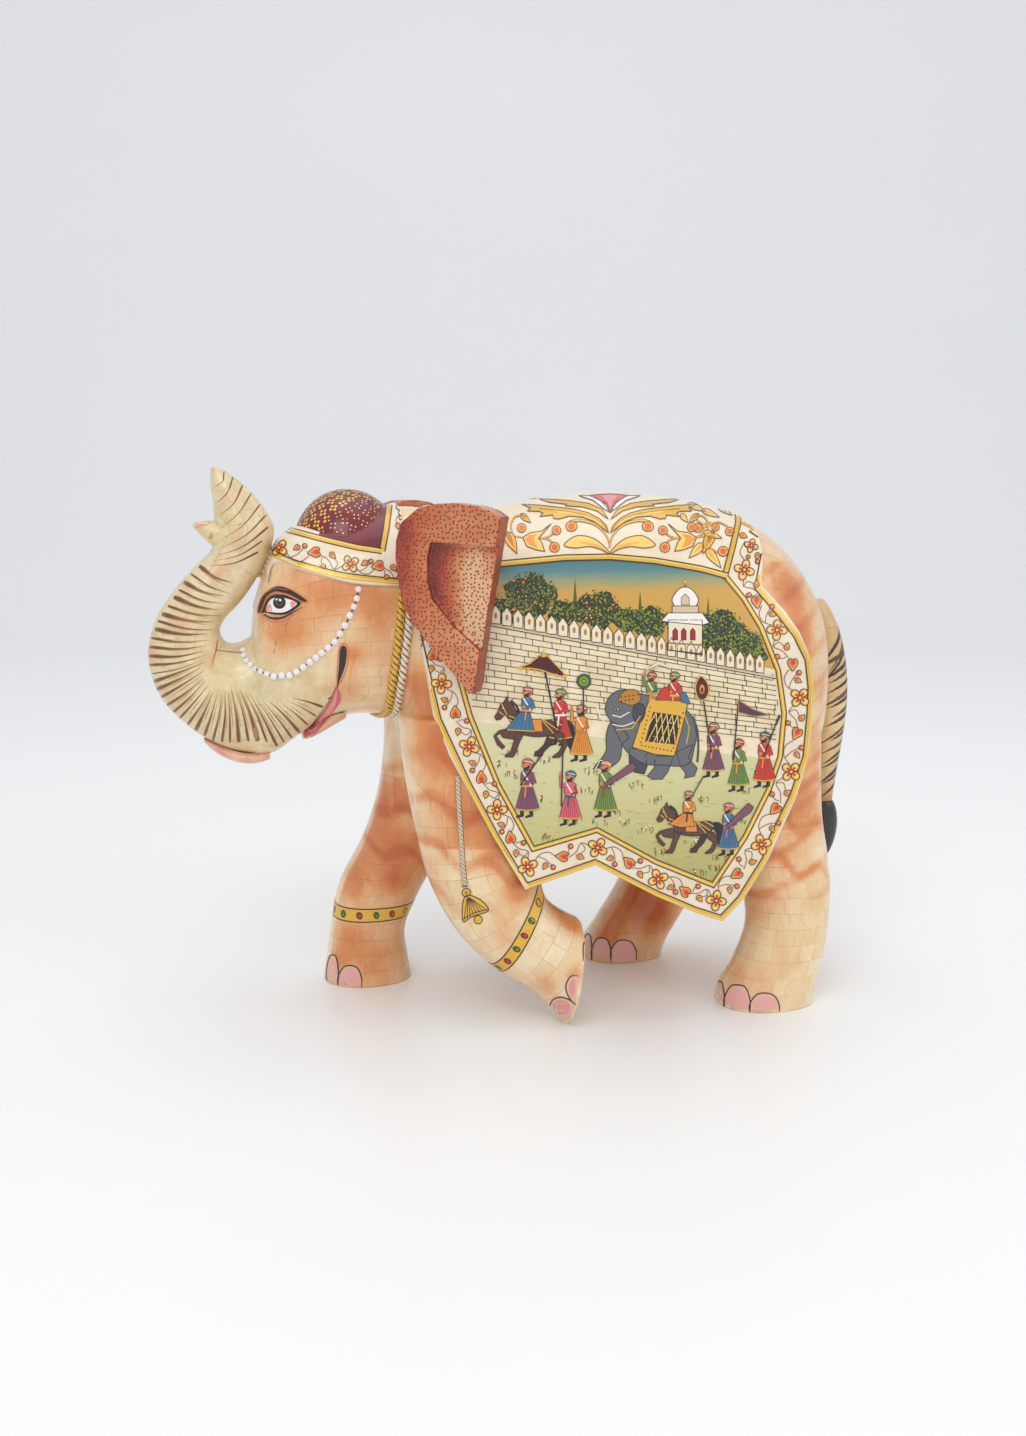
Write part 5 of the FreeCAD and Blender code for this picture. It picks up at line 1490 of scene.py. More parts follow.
def person(x, y, h, robe, shade, cap, face=-1, arm="front", seated=False, L0=8, sash="amber", beard=True):
    """A small courtly figure in a pleated coat and turban. y is the foot line, h the height, face -1 looks left."""
    f = face
    k = h / 50.0
    X_ = lambda u: x + u * k * f * -1
    Y_ = lambda v: y - v * k
    R = lambda pts: [(X_(a), Y_(b)) for a, b in pts]
    if not seated:
        for s in (-4.5, 3.5):
            mini.poly(R([(s - 1.6, 9), (s + 1.6, 9), (s + 1.6, 1.5), (s - 5.0, 0), (s - 5.0, 1.8), (s - 1.6, 3)]), "black", L0)
        sk = R([(-4.5, 28), (4.5, 28), (10.5, 8), (5, 6.6), (0, 6.2), (-6, 6.8), (-10, 8)])
        mini.poly(sk, robe, L0 + 1, cell=5, outline="line", ow=0.7)
        for s in (-6.5, -4.2, -2, 0.2, 2.6, 5, 7.2):
            mini.line(R([(s * 0.45, 27), (s, 8.5)]), 0.6, shade, L0 + 2)
        mini.line(R([(-10, 8.2), (-6, 7.1), (0, 6.6), (5, 7), (10.5, 8.2)]), 1.0, "gold", L0 + 3)
    to = R([(-4.6, 27), (-5.6, 33), (-5.2, 39), (-2.5, 41), (2.5, 41), (5.4, 38.5), (5.4, 32), (4.6, 27)])
    mini.poly(to, robe, L0 + 2, outline="line", ow=0.7)
    mini.line(R([(-3.8, 40), (3.4, 28)]), 1.3, "white", L0 + 4)
    mini.line(R([(-4.8, 27.6), (4.8, 27.6)]), 1.9, sash, L0 + 4)
    mini.line(R([(-1.2, 27), (-2.2, 18)]), 1.5, sash, L0 + 4)
    # sleeves and hands
    if arm == "up":
        mini.line(R([(-4.2, 38), (-8.2, 37), (-8.6, 47)]), 3.4, "line", L0 + 4)
        mini.line(R([(-4.2, 38), (-8.2, 37), (-8.6, 46.6)]), 2.5, robe, L0 + 5)
        mini.disc(X_(-8.6), Y_(48.4), 1.6 * k, "skin", L0 + 6, n=8)
        mini.line(R([(4.2, 37), (6.0, 31), (0, 29.5)]), 2.4, shade, L0 + 5)
        mini.disc(X_(-0.6), Y_(29.6), 1.4 * k, "skin", L0 + 6, n=8)
    else:
        mini.line(R([(4.4, 38), (6.2, 31.5), (-2.4, 31)]), 3.4, "line", L0 + 4)
        mini.line(R([(4.4, 38), (6.2, 31.5), (-2.2, 31)]), 2.5, robe, L0 + 5)
        mini.disc(X_(-3.6), Y_(31.2), 1.6 * k, "skin", L0 + 6, n=8)
    # neck, head in profile and turban
    mini.line(R([(0.3, 40), (0.3, 43)]), 3.0, "skin", L0 + 3)
    mini.disc(X_(0.0), Y_(45.6), 3.9 * k, "skin", L0 + 5, ry=4.3 * k, n=14, outline="line", ow=0.6)
    mini.poly(R([(-3.6, 46.8), (-4.9, 45.2), (-3.6, 44.4)]), "skin", L0 + 6)
    if beard:
        mini.poly(R([(-3.6, 43.6), (-1.0, 43.9), (1.8, 46), (2.4, 44), (0.4, 41.3), (-2.6, 40.8)]), "beard", L0 + 7)
    else:
        mini.line(R([(-3.7, 43.4), (-1.8, 43.5)]), 0.6, "beard", L0 + 7)
    mini.line(R([(-3.0, 47.0), (-1.4, 47.2)]), 0.6, "black", L0 + 7)
    mini.disc(X_(-2.2), Y_(46.1), 0.45, "black", L0 + 7, n=6)
    tb = R(curve([(-4.0, 47.6), (-3.2, 50.2), (0.4, 51.4), (4.0, 50.2), (5.6, 47.2), (3.8, 45.2), (2.0, 47.4), (-1.2, 48.4)], 3, True))
    mini.poly(tb, cap, L0 + 8, outline="line", ow=0.6)
    mini.line(R([(-2.8, 49.2), (4.4, 48.0)]), 0.6, "white", L0 + 10)
    return X_, Y_


def horse(x, y, s, coat, shade, L0=8):
    """Horse walking left; x, y is under its chest on the ground, s the size."""
    R = lambda pts: [(x + a * s, y - b * s) for a, b in pts]
    tail = R(curve([(56, 41), (64, 42), (70, 36), (71, 24), (67, 8), (62, 16), (60, 28), (54, 36)], 3, True))
    mini.poly(tail, "black", L0, cell=5)
    for leg, dark in ((([(8, 26), (2, 20), (-10, 22), (-14, 27), (-18, 24), (-13, 17), (-8, 12), (-11, 9), (-17, 14), (-21, 24), (-15, 30), (0, 34)]), 0), (([(40, 24), (36, 14), (30, 8), (26, 6), (25, 1), (34, 1), (36, 6), (44, 14), (50, 26)]), 1)):
        mini.poly(R(leg), shade if dark else coat, L0 + 1, cell=5, outline="black", ow=0.6)
    body = R(curve([(-6, 46), (2, 38), (4, 30), (14, 25), (30, 23), (44, 25), (54, 30), (57, 38), (52, 43), (38, 42), (24, 41), (14, 44), (6, 52), (-2, 58)], 3, True))
    mini.poly(body, coat, L0 + 2, cell=5, outline="black", ow=0.7)
    for leg in ([(4, 30), (2, 18), (-2, 6), (-8, 2), (-8, 0), (1, 0), (4, 4), (8, 16), (14, 28)], [(46, 30), (49, 20), (57, 14), (53, 6), (46, 1), (46, -1), (54, 0), (58, 4), (63, 15), (58, 28)]):
        mini.poly(R(leg), coat, L0 + 3, cell=5, outline="black", ow=0.6)
    head = R([(6, 50), (2, 58), (-4, 63), (-6, 69), (-9, 63), (-13, 60), (-17, 50), (-20, 46), (-18, 42), (-13, 43), (-9, 48), (-5, 47), (-2, 40)])
    mini.poly(head, coat, L0 + 4, cell=5, outline="black", ow=0.7)
    mini.line(R(curve([(-2, 64), (5, 58), (9, 48)], 4)), 2.2, "black", L0 + 6)
    mini.disc(*R([(-10.5, 56)])[0], 0.9, "white", L0 + 6, n=8)
    mini.disc(*R([(-10.7, 56)])[0], 0.5, "black", L0 + 7, n=6)
    for a_, b_ in (((-15, 52), (-10, 48)), ((-12, 61), (-6, 48)), ((-4, 47), (7, 43)), ((-4, 43), (6, 38)), ((36, 42), (52, 31)), ((34, 42), (47, 27)), ((45, 43), (57, 36))):
        mini.line(R([a_, b_]), 0.9, "gold", L0 + 6)
    mini.poly(R([(20, 43), (33, 43), (35, 29), (19, 29)]), "amber", L0 + 5, outline="line", ow=0.6)
    return R


# upper row
horse(512, 757, 0.88, "horse", "horse_lo", 12)
X_, Y_ = person(527, 738, 50, "blue", "blue_lo", "rose", seated=True, L0=19)
mini.poly([(520, 712), (530, 713), (534, 730), (517, 730), (506, 729)], "blue", 20, outline="line", ow=0.7)
for k in range(5):
    mini.line([(521 + k * 2, 714), (511 + k * 4.6, 729)], 0.6, "blue_lo", 22)
mini.line([(507, 729.6), (534, 731)], 1.0, "gold", 23)
person(560, 746, 56, "red", "red_lo", "green", L0=12, sash="white")
mini.line([(556, 728), (545, 672)], 1.5, "black", 26)
mini.poly(curve([(518, 668), (530, 663), (543, 654), (555, 664), (565, 676), (553, 674), (541, 670), (529, 668)], 3, True), "maroon_lo", 26, outline="gold", ow=1.1)
for k in range(7):
    mini.disc(521 + k * 7, 668.5 + k * 1.3, 1.5, "gold", 28, n=7)
mini.poly([(541, 657), (543, 649), (546, 657)], "gold", 28)
person(581, 762, 56, "amber", "amber_lo", "tan", arm="up", L0=12, sash="gold_lo")
mini.line([(583, 716), (583, 688)], 1.3, "black", 26)
mini.disc(583.5, 681, 7.0, "emerald", 26, n=18, outline="line", ow=0.9)
mini.disc(583.5, 681, 4.4, "leaf", 28, n=14)
mini.disc(583.5, 681, 2.8, "emerald", 29, n=12)
mini.disc(583.5, 681, 1.2, "gold", 30, n=8)

# the big painted elephant
EB = curve([(611, 722), (605, 710), (609, 697), (620, 690), (634, 692), (650, 696), (668, 700), (684, 708), (693, 720), (696, 736), (693, 752), (690, 762), (680, 766), (662, 765), (646, 764), (634, 758), (624, 748), (618, 736)], 4, True)
for leg in ([(629, 748), (629, 762), (634, 772), (644, 774), (647, 766), (645, 756), (650, 750)], [(655, 756), (654, 768), (647, 776), (652, 779), (662, 779), (668, 771), (673, 756)], [(676, 752), (680, 766), (686, 774), (684, 778), (694, 776), (697, 768), (688, 758), (693, 744)]):
    mini.poly(leg, "grey_lo" if leg[0][0] == 629 else "grey", 12, cell=5, outline="black", ow=0.7)
mini.poly(EB, "grey", 13, cell=5, outline="black", ow=0.8)
mini.poly(curve([(612, 722), (606, 735), (606, 750), (600, 760), (594, 768), (602, 769), (612, 766), (620, 758), (622, 744), (628, 736)], 4, True), "grey", 14, cell=5, outline="black", ow=0.8)
mini.poly([(600, 760), (595, 769), (607, 769), (611, 763)], "grey_lo", 15, outline="white", ow=0.7)
mini.line(curve([(604, 722), (600, 716), (597, 708), (594, 704)], 5), 1.9, "cream", 17)
mini.line(curve([(612, 724), (622, 726), (634, 722)], 5), 1.0, "white", 17)
mini.poly(curve([(634, 705), (642, 704), (645, 713), (640, 722), (633, 718)], 4, True), "grey_lo", 17, outline="black", ow=0.7)
mini.poly(curve([(618, 700), (624, 691), (636, 690), (640, 700), (632, 705), (624, 703)], 4, True), "gold_lo", 17, outline="line", ow=0.6)
for k in range(9):
    mini.disc(621 + (k % 5) * 4, 697 + (k // 5) * 4 - (k % 5) * 0.6, 0.9, "black", 19, n=6)
mini.disc(616.5, 709, 2.0, "white", 17, ry=1.3, n=10, outline="black", ow=0.6)
mini.disc(616.3, 709, 0.9, "black", 19, n=7)
mini.line([(612, 715), (620, 717), (629, 712)], 1.0, "white", 18)
mini.line(curve([(692, 716), (697, 730), (698, 748), (697, 762)], 5), 2.0, "grey_lo", 15)
mini.line([(640, 716), (632, 728), (616, 730)], 1.0, "gold", 18)
mini.line([(684, 714), (689, 728), (686, 744)], 1.0, "gold", 18)
CL = [(650, 697), (688, 701), (681, 731), (674, 756), (654, 754), (632, 747), (640, 722)]
mini.poly(CL, "gold", 16, cell=5, outline="line", ow=0.9)
mini.line([(650, 697), (688, 701)], 3.4, "gold_lo", 18)
IN_ = [(653, 712), (680, 716), (675, 744), (645, 741)]
mini.poly(IN_, "black", 18, cell=5, outline="crimson", ow=0.8)
for k in range(5):
    t_ = (k + 0.5) / 5
    a_ = (653 + 27 * t_, 712 + 4 * t_)
    b_ = (645 + 30 * t_, 741 + 3 * t_)
    mini.line([a_, (b_[0] - 7, b_[1])] if k else [a_, (646, 729)], 0.8, "gold_pale_and_highlight", 20)
    mini.line([a_, (min(b_[0] + 9, 677), b_[1])] if k < 4 else [a_, (678, 728)], 0.8, "gold_pale_and_highlight", 20)
for k in range(16):
    mini.disc(rnd.uniform(652, 674), rnd.uniform(717, 740), 0.7, "gold", 21, n=6)
for k in range(26):
    t_ = k / 26
    q = [(650, 707), (640, 745), (672, 751), (684, 708)]
    i = int(t_ * 3)
    u = t_ * 3 - i
    mini.disc(q[i][0] + (q[i + 1][0] - q[i][0]) * u, q[i][1] + (q[i + 1][1] - q[i][1]) * u, 0.9, "red_lo", 19, n=6)
person(651, 719, 46, "green", "green_lo", "red", seated=True, arm="up", L0=22)
mini.line([(643, 672), (658, 664), (671, 668)], 4.0, "cream", 30, taper=([0, .5, 1], [.3, 1, .3]))
mini.line([(643, 672), (658, 665), (671, 669)], 0.8, "vine", 31)
mini.poly([(655, 700), (662, 688), (678, 684), (686, 700)], "red", 21, outline="line", ow=0.7)
person(674, 723, 50, "red", "red_lo", "green", seated=True, L0=22, sash="gold")
mini.poly([(679, 690), (686, 694), (690, 704), (681, 702)], "blue", 24, outline="line", ow=0.6)

person(713, 778, 54, "plum", "plum_lo", "tan", L0=12)
mini.line([(711, 752), (703, 700)], 1.3, "black", 26)
mini.poly(curve([(700, 676), (695, 686), (697, 697), (703, 700), (708, 693), (707, 683)], 4, True), "maroon_lo", 26, outline="gold", ow=1.0)
mini.disc(701.5, 689, 2.6, "amber", 28, ry=4.8, n=12)
mini.disc(701.5, 690, 1.3, "maroon_lo", 29, ry=2.8, n=10)
person(738, 792, 52, "green", "green_lo", "red", L0=13)
mini.line([(733, 760), (738, 700)], 1.2, "black", 26)
mini.poly([(738, 700), (752, 709), (769, 715), (753, 716), (738, 712)], "plum_lo", 26, outline="gold_lo", ow=0.8)
person(764, 788, 55, "red", "red_lo", "green_lo", L0=12)
mini.line([(763, 757), (776, 722)], 1.2, "black", 26)
mini.line([(776, 724), (779, 715)], 2.6, "black", 27, taper=([0, 1], [0.4, 1]))

# lower row
person(527, 818, 58, "plum", "plum_lo", "rose", L0=14, sash="amber")
mini.line([(520, 785), (541, 755)], 1.3, "black", 27)
person(570, 826, 54, "rose", "crimson", "blue", arm="up", L0=14, sash="blue_lo")
mini.line([(561, 806), (563, 735)], 1.5, "umber", 26)
person(605, 818, 56, "green", "green_lo", "orange_hi", L0=14, sash="crimson")
mini.poly([(606, 786), (604, 783), (632, 762), (636, 767), (632, 771)], "plum", 27, outline="line", ow=0.7)
R = horse(671, 853, 0.74, "horse", "horse_lo", 14)
person(688, 838, 46, "amber", "amber_lo", "tan", seated=True, L0=22, sash="maroon_lo")
mini.poly([(683, 813), (692, 814), (694, 826), (680, 827), (668, 824)], "amber", 23, outline="line", ow=0.7)
for k in range(5):
    mini.line([(684 + k * 1.8, 815), (673 + k * 4.2, 825)], 0.6, "amber_lo", 25)
mini.line([(691, 797), (703, 776)], 1.1, "line", 30)
person(728, 856, 52, "blue", "blue_lo", "rose", L0=14, sash="rose")
mini.poly([(727, 829), (725, 826), (748, 803), (753, 807), (750, 812)], "plum", 27, outline="line", ow=0.7)
mini.build(slot="painted_cloth")

# ------------------------------------------------------------------ headcloth band
cap = Paint("headcloth_border", T_CAP, base=0.16, step=0.05)
LOW = curve([(266, 551.5), (271, 555), (283, 560.8), (297, 566.2), (320, 572.7), (342, 577.8), (370, 581.4), (400, 584), (420, 585)], 4)
cap.line(inset(LOW, -2.2), 4.8, "gold", 1)
# the thin pale gold line along the gold band is painted highlight
cap.line(inset(LOW, -1.4), 1.0, "gold_pale_and_highlight", 2)
cap.line(inset(LOW, -5.2), 1.2, "line", 2)
TOPB = [(283, 527.5), (300, 532), (330, 540), (358, 546.5), (382, 550)]
cap.poly([(290, 530), (300, 532), (330, 540), (358, 546.5), (384, 550), (386, 560), (350, 560), (320, 556), (300, 549), (290, 543)], "ivory", 0, cell=3)
cap.poly([(362, 494), (373, 497), (388, 504), (385, 526), (381, 549), (366, 547), (340, 541), (318, 536), (330, 515)], "maroon", 0, cell=3)
cap.line(inset(TOPB, 1.2), 4.2, "gold", 3)
# thin pale gold line: painted highlight
cap.line(inset(TOPB, 0.4), 1.0, "gold_pale_and_highlight", 4)
cap.line(inset(TOPB, 3.8), 1.1, "line", 3)
cap.line(inset(TOPB, -1.4), 1.1, "black", 3)
UPB = [(382, 551), (386, 530), (390, 500)]
cap.line(UPB, 4.4, "gold", 3)
cap.line(inset(UPB, 2.8), 1.1, "line", 4)
cap.line(inset(UPB, -2.8), 1.3, "black", 4)
cap.line([(281, 527), (273, 541), (266, 556)], 1.4, "gold", 3)
HF = [(279.5, 548), (350.5, 564), (408, 574)]
vine_border(cap, HF, -1.0, 8.4, [(315, 552.5), (378.5, 566)])
flower(cap, 403, 509, 6.8, 0.4)
bud(cap, 398, 526, 3.2, 1.5)
berry(cap, 401, 518, 2.1)
heart(cap, 402, 541, 5.0, 1.6)
flower(cap, 405, 556, 5.5, 0.9)
cap.line(curve([(400, 514), (396, 520), (399, 530), (401, 540), (400, 552)], 5), 0.7, "vine", 1)
cap.build(slot="painted_cloth")

# the dotted dome
lo_, hi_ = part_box("crown_dome")
dc = Vector((-0.0920, 0, 0.2485))


def dome_ray(u, v):
    """u, v are degrees round and up from the dome's centre."""
    a, e = math.radians(u), math.radians(v)
    d = Vector((math.cos(a) * math.cos(e), math.sin(a) * math.cos(e), math.sin(e)))
    return dc + d * 0.08, -d


dome = Paint("dome_flowers", T_DOME, ray=dome_ray, base=0.10, step=0.03, depth=0.04)
ga = math.pi * (3 - math.sqrt(5))
nfl = 185
for i in range(nfl):
    z = 1 - (i + 0.5) / nfl
    el_ = math.degrees(math.asin(z))
    az_ = math.degrees((i * ga) % (2 * math.pi))
    o, d = dome_ray(az_, el_)
    hit = T_DOME.cast(o, d)
    if hit is None or hit[0].z < 0.2475:
        continue
    h_ = Vector((hit[0].x, -abs(hit[0].y), hit[0].z)) - EYE
    zz_ = h_.dot(-BACK)
    sx, sy = 513 + 1400 * h_.dot(RIGHT) / zz_, 718 - 1400 * h_.dot(UP) / zz_
    if sy > 529 + (sx - 283) * 0.25:
        continue
    rr = 2.9
    k = 1 / max(0.12, math.cos(math.radians(el_)))
    tw = rnd.uniform(0, 1.5)
    for q in range(4):
        a_ = tw + q * math.pi / 2
        dome.disc(az_ + math.cos(a_) * rr * k, el_ + math.sin(a_) * rr, 1.65 * k, "gold", 1, ry=1.65, n=9)
        # paler centre of each gold dot: painted highlight
        dome.disc(az_ + math.cos(a_) * rr * k, el_ + math.sin(a_) * rr, 0.8 * k, "gold_pale_and_highlight", 2, ry=0.8, n=7)
dome.build(mirror=False, slot="painted_cloth")


# ------------------------------------------------------------------ face
face = Paint("face_painting", T_HEADTRUNK, base=0.12, step=0.03)
EYE_HALO = curve([(256, 613), (262, 597), (275, 586), (288, 587), (300, 594), (310, 601), (302, 608), (294, 616), (284, 622), (268, 620)], 4, True)
face.poly(curve([(257.5, 611), (263, 596), (276, 586.5), (290, 589), (307, 600), (303, 602), (288, 595.5), (276, 592), (267, 598), (261.5, 612)], 4, True), "black", 3, cell=4, outline="halo", ow=1.0)
face.poly(curve([(261, 612), (266, 600), (276, 594.5), (288, 596), (301, 602.5), (294, 610), (285, 614.5), (274, 614.5), (266, 612.5)], 4, True), "black", 4, cell=4)
face.line(curve([(262, 611), (267, 599), (276, 593.2), (288, 594.6), (303, 602.5)], 5), 1.0, "halo", 5)
face.poly(curve([(266.5, 610.5), (270, 601), (277, 597.5), (286, 598.5), (297, 603), (291, 609), (283, 612.5), (273, 612.2)], 4, True), "white", 6, cell=3)
face.poly(curve([(266.8, 610.3), (269, 604), (271.5, 606), (272, 611)], 3, True), "pink", 7, cell=3)
face.poly(curve([(296.6, 603), (291.5, 601.2), (290.5, 604.5), (292, 608)], 3, True), "pink", 7, cell=3)
face.disc(279.8, 602.6, 6.3, "black", 8, n=24)
face.disc(279.8, 602.6, 3.6, "brown", 10, n=16)
face.disc(279.8, 602.9, 2.2, "black", 11, n=14)
face.disc(280.6, 600.2, 1.3, "white", 12, n=10)
face.line(curve([(264, 614.5), (272, 618.2), (282, 617.8), (291, 613.5), (303, 606.5)], 5), 2.6, "umber", 4, taper=([0, .3, 1], [0.5, 1.0, 0.15]))
face.line(curve([(262, 615), (271, 621.5), (283, 621), (293, 615.6), (306, 606.5)], 5), 1.0, "halo", 3, taper=([0, .3, 1], [0.6, 1.0, 0.3]))
face.line(curve([(267, 592.5), (276, 588.5), (288, 590.3)], 4), 0.5, "grey_hi", 8)
# cheek slit and halo
face.poly(curve([(343, 645.5), (346.3, 648), (346.6, 656), (344.5, 668), (340, 680), (337.3, 688), (338, 676), (339, 664), (340, 650)], 4, True), "black", 3, cell=3)
face.line(curve([(337.4, 691), (337, 676), (338, 660), (339.2, 648.5), (343, 643.2), (347.6, 647), (348.2, 657), (345.8, 670), (340.6, 683)], 5), 1.2, "halo", 2)
face.line(curve([(352, 700), (349, 690), (350, 676), (353, 660), (352, 648)], 5), 1.3, "orange_hi", 1, taper=([0, .5, 1], [0, 1, 0]))
# mouth edge
face.line(curve([(336.5, 686), (329, 701), (317, 718), (306, 732), (290, 745.5), (273, 755)], 5), 1.0, "tan", 2)
face.line([(328, 699), (331, 697), (333, 699)], 1.0, "umber", 3)


# ------------------------------------------------------------------ trunk folds
FOLD = [  # outer end, inner end, half strength
    ((224, 472), (213, 487), .45), ((233, 477), (214, 505), .6), ((243, 484), (217, 517), .6), ((252, 492), (218, 530), .7), ((261, 503), (219, 541), .75),
    ((266, 515), (219, 549), .8), ((268, 527), (217, 556), .8), ((262, 541), (214, 561), .8), ((258, 552), (209, 566), .7)]
FOLD2 = [((199.5, 566), (234, 583), 1.0), ((191, 574), (231, 594), .9), ((184, 582), (223, 596), .9), ((179, 590), (226, 604), .8), ((174, 597), (218, 610), 1.0), ((168, 606), (222, 616), .8), ((162, 614), (214, 622), 1.0), ((158, 621), (216, 630), .9),
         ((155, 629), (208, 634), 1.0), ((151.5, 638), (210, 640), .7), ((150, 647), (206, 646), .8), ((149.5, 656), (204, 651), 1.0), ((149.5, 665), (206, 655), .6), ((150.5, 674), (206, 658), .5), ((152.5, 682), (205, 662), .9), ((155.5, 690), (200, 668), 1.0),
         ((160, 698), (205, 670), .8), ((166, 706), (204, 678), 1.0), ((172.5, 713), (206, 680), .8), ((179, 719), (209, 684), 1.0), ((187, 725.5), (211, 690), .7), ((195, 731.5), (213, 692), 1.0), ((204, 737), (217, 694), .8), ((213, 740.5), (222, 694), 1.0), ((222, 742), (225, 690), .7), ((230, 742.5), (228, 690), .6), ((239, 742), (231, 688), 1.0), ((248.5, 741), (236, 690), .7), ((258, 741), (240, 690), 1.0), ((267, 742), (245, 692), .7), ((277, 746), (250, 694), 1.0), ((284, 742), (255, 696), .7), ((292, 738), (262, 700), .7), ((300, 733), (268, 700), .9), ((308, 725), (280, 702), .6), ((316, 716), (286, 700), .5), ((323, 707), (292, 698), .5)]
trk = Paint("trunk_folds", T_HEADTRUNK, base=0.10, step=0.04)


def fold(a, b, s, bend, wmax=4.0):
    A, B = Vector(a), Vector(b)
    d = B - A
    n = Vector((-d.y, d.x)).normalized()
    mid_ = (A + B) / 2 + n * bend
    j = lambda: rnd.uniform(-0.5, 0.5)
    c = curve([tuple(A), (mid_.x + j(), mid_.y + j()), tuple(B)], 8)
    v = rnd.uniform(0.7, 1.25)
    trk.line(c, wmax * 1.2 * s * v, "tan", 0, taper=([0, 0.12, 0.55, 1], [0.7, 0.95, 0.5, 0.05]))
    trk.line(c[:rnd.choice((11, 13, 15))], wmax * 0.8 * s * v, "fold", 1, taper=([0, 0.15, 0.6, 1], [0.8, 1.0, 0.5, 0.03]))
    trk.line(c[rnd.choice((0, 0, 1)):rnd.choice((7, 9, 11))], wmax * 0.48 * s * v, "brown", 2, taper=([0, 0.2, 1], [0.8, 1.0, 0.05]))


for a, b, s in FOLD:
    fold(a, b, s * 0.62, -4.5)
for i, (a, b, s) in enumerate(FOLD2):
    fold(a, b, s * (1.05 if i % 2 == 0 else 0.8), 3.0 if i < 14 else 1.0)
    if i + 1 < len(FOLD2):
        a2, b2, _ = FOLD2[i + 1]
        m1, m2 = (Vector(a) + Vector(a2)) / 2, (Vector(b) + Vector(b2)) / 2
        st = m1.lerp(m2, rnd.uniform(0.1, 0.3))
        en = m1.lerp(m2, rnd.uniform(0.7, 0.95))
        trk.line([tuple(st), tuple(en)], 0.8, "tan", 0, taper=([0, .5, 1], [.2, 1, .1]))
# hot pink inner edge of the lower jaw
mth = Paint("mouth_pink", T_HEADTRUNK, base=0.35, step=0.06)
mth.poly(curve([(336.5, 687), (331, 699), (320, 716), (304, 732.5), (310, 738), (322, 726), (334, 710), (341, 699)], 4, True), "rose", 1, cell=3)
mth.poly(curve([(336.5, 690), (332, 701), (322, 715), (309, 730), (314, 731), (325, 719), (335, 705)], 4, True), "pink", 2, cell=3)
mth.build(slot="bone_veneer")
# glued joint patch at the bend, and its seams
trk.line([(217.5, 640), (216, 650), (211, 668)], 0.9, "crimson", 3, taper=([0, .5, 1], [.6, 1, .2]))
trk.line([(216, 650), (230, 652), (244, 653)], 0.7, "tan", 3)
# dark edges of the trunk's flat side
trk.line(curve([(222, 632.5), (226, 618), (242.5, 600.5), (258, 577), (267, 556)], 6), 1.3, "tan", 3, taper=([0, .5, 1], [.6, 1, .4]))
trk.build(slot="bone_veneer")
tip = Paint("tip_painting", T_TIP, base=0.08, step=0.03)
tip.poly([(192.5, 525), (203, 519), (213.5, 515), (217, 519.5), (208, 524.5), (197, 529)], "pink", 1, cell=3)
tip.build(slot="bone_veneer")


# ------------------------------------------------------------------ bead string on the cheeks
BEADS = [(358.3, 589.3), (356.9, 598.5), (353.8, 606.7), (349.9, 615.5), (345, 625.5), (340.2, 633.7), (334.9, 641.9), (328.2, 647.9), (321.8, 653.0), (316.0, 657.6), (309.9, 662.0), (303.3, 667.2), (296.5, 671.9), (289.6, 675.4), (281.8, 675.7), (274.0, 676.5), (267, 674.0), (260.8, 671.5), (255.3, 668.8), (250.6, 664.8), (246.5, 660.6), (243.9, 655.4), (243.2, 650.3)]
face.line(curve(BEADS, 4), 1.5, "black", 2)
face.build(slot="bone_veneer")


def glass_mat(name):
    m, nt, b = new_mat(name)
    vec = obj_vec(nt)
    n1 = noise(nt, vec, 900.0, 3.0)
    nt.links.new(mix(nt, n1, lin(226, 216, 214), lin(246, 242, 240)), b.inputs["Base Color"])
    b.inputs["Roughness"].default_value = 0.16
    b.inputs["Coat Weight"].default_value = 0.5
    nt.links.new(mapr(nt, n1, 0.3, 0.7, 0.10, 0.26), b.inputs["Roughness"])
    return m


M_BEAD = glass_mat("faceted_beads")


def bead_mesh(name, sgn):
    bm = bmesh.new()
    for i, (x, y) in enumerate(BEADS):
        o, d = sheet_ray(x, y)
        hit = T_HEADTRUNK.cast(o, d)
        if not hit:
            continue
        p, n = hit
        r_ = 0.00192 if 2 < i < 16 else 0.00172
        zx = n.to_track_quat("Z", "Y").to_matrix()
        prev = None
        rows_ = [(1.0, -0.2), (1.0, 0.22), (0.74, 0.62), (0.34, 0.84)]
        ringsb = []
        for k, (rr, hh) in enumerate(rows_):
            ring_ = []
            for q in range(8):
                a_ = 2 * math.pi * (q + 0.5 * (k % 2)) / 8 + i
                c = p + zx @ Vector((math.cos(a_) * rr * r_, math.sin(a_) * rr * r_, hh * r_))
                ring_.append(bm.verts.new((c.x, c.y * sgn, c.z)))
            ringsb.append(ring_)
        for k in range(len(ringsb) - 1):
            for q in range(8):
                q2 = (q + 1) % 8
                bm.faces.new((ringsb[k][q], ringsb[k][q2], ringsb[k + 1][q2], ringsb[k + 1][q]))
        bm.faces.new(ringsb[-1])
        bm.faces.new(list(reversed(ringsb[0])))
    bmesh.ops.recalc_face_normals(bm, faces=bm.faces)
    me = bpy.data.meshes.new(name)
    bm.to_mesh(me)
    bm.free()
    o = add_obj(name, me, [M_BEAD])
    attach(o, "root")


bead_mesh("cheek_beads_near", 1)
bead_mesh("cheek_beads_far", -1)


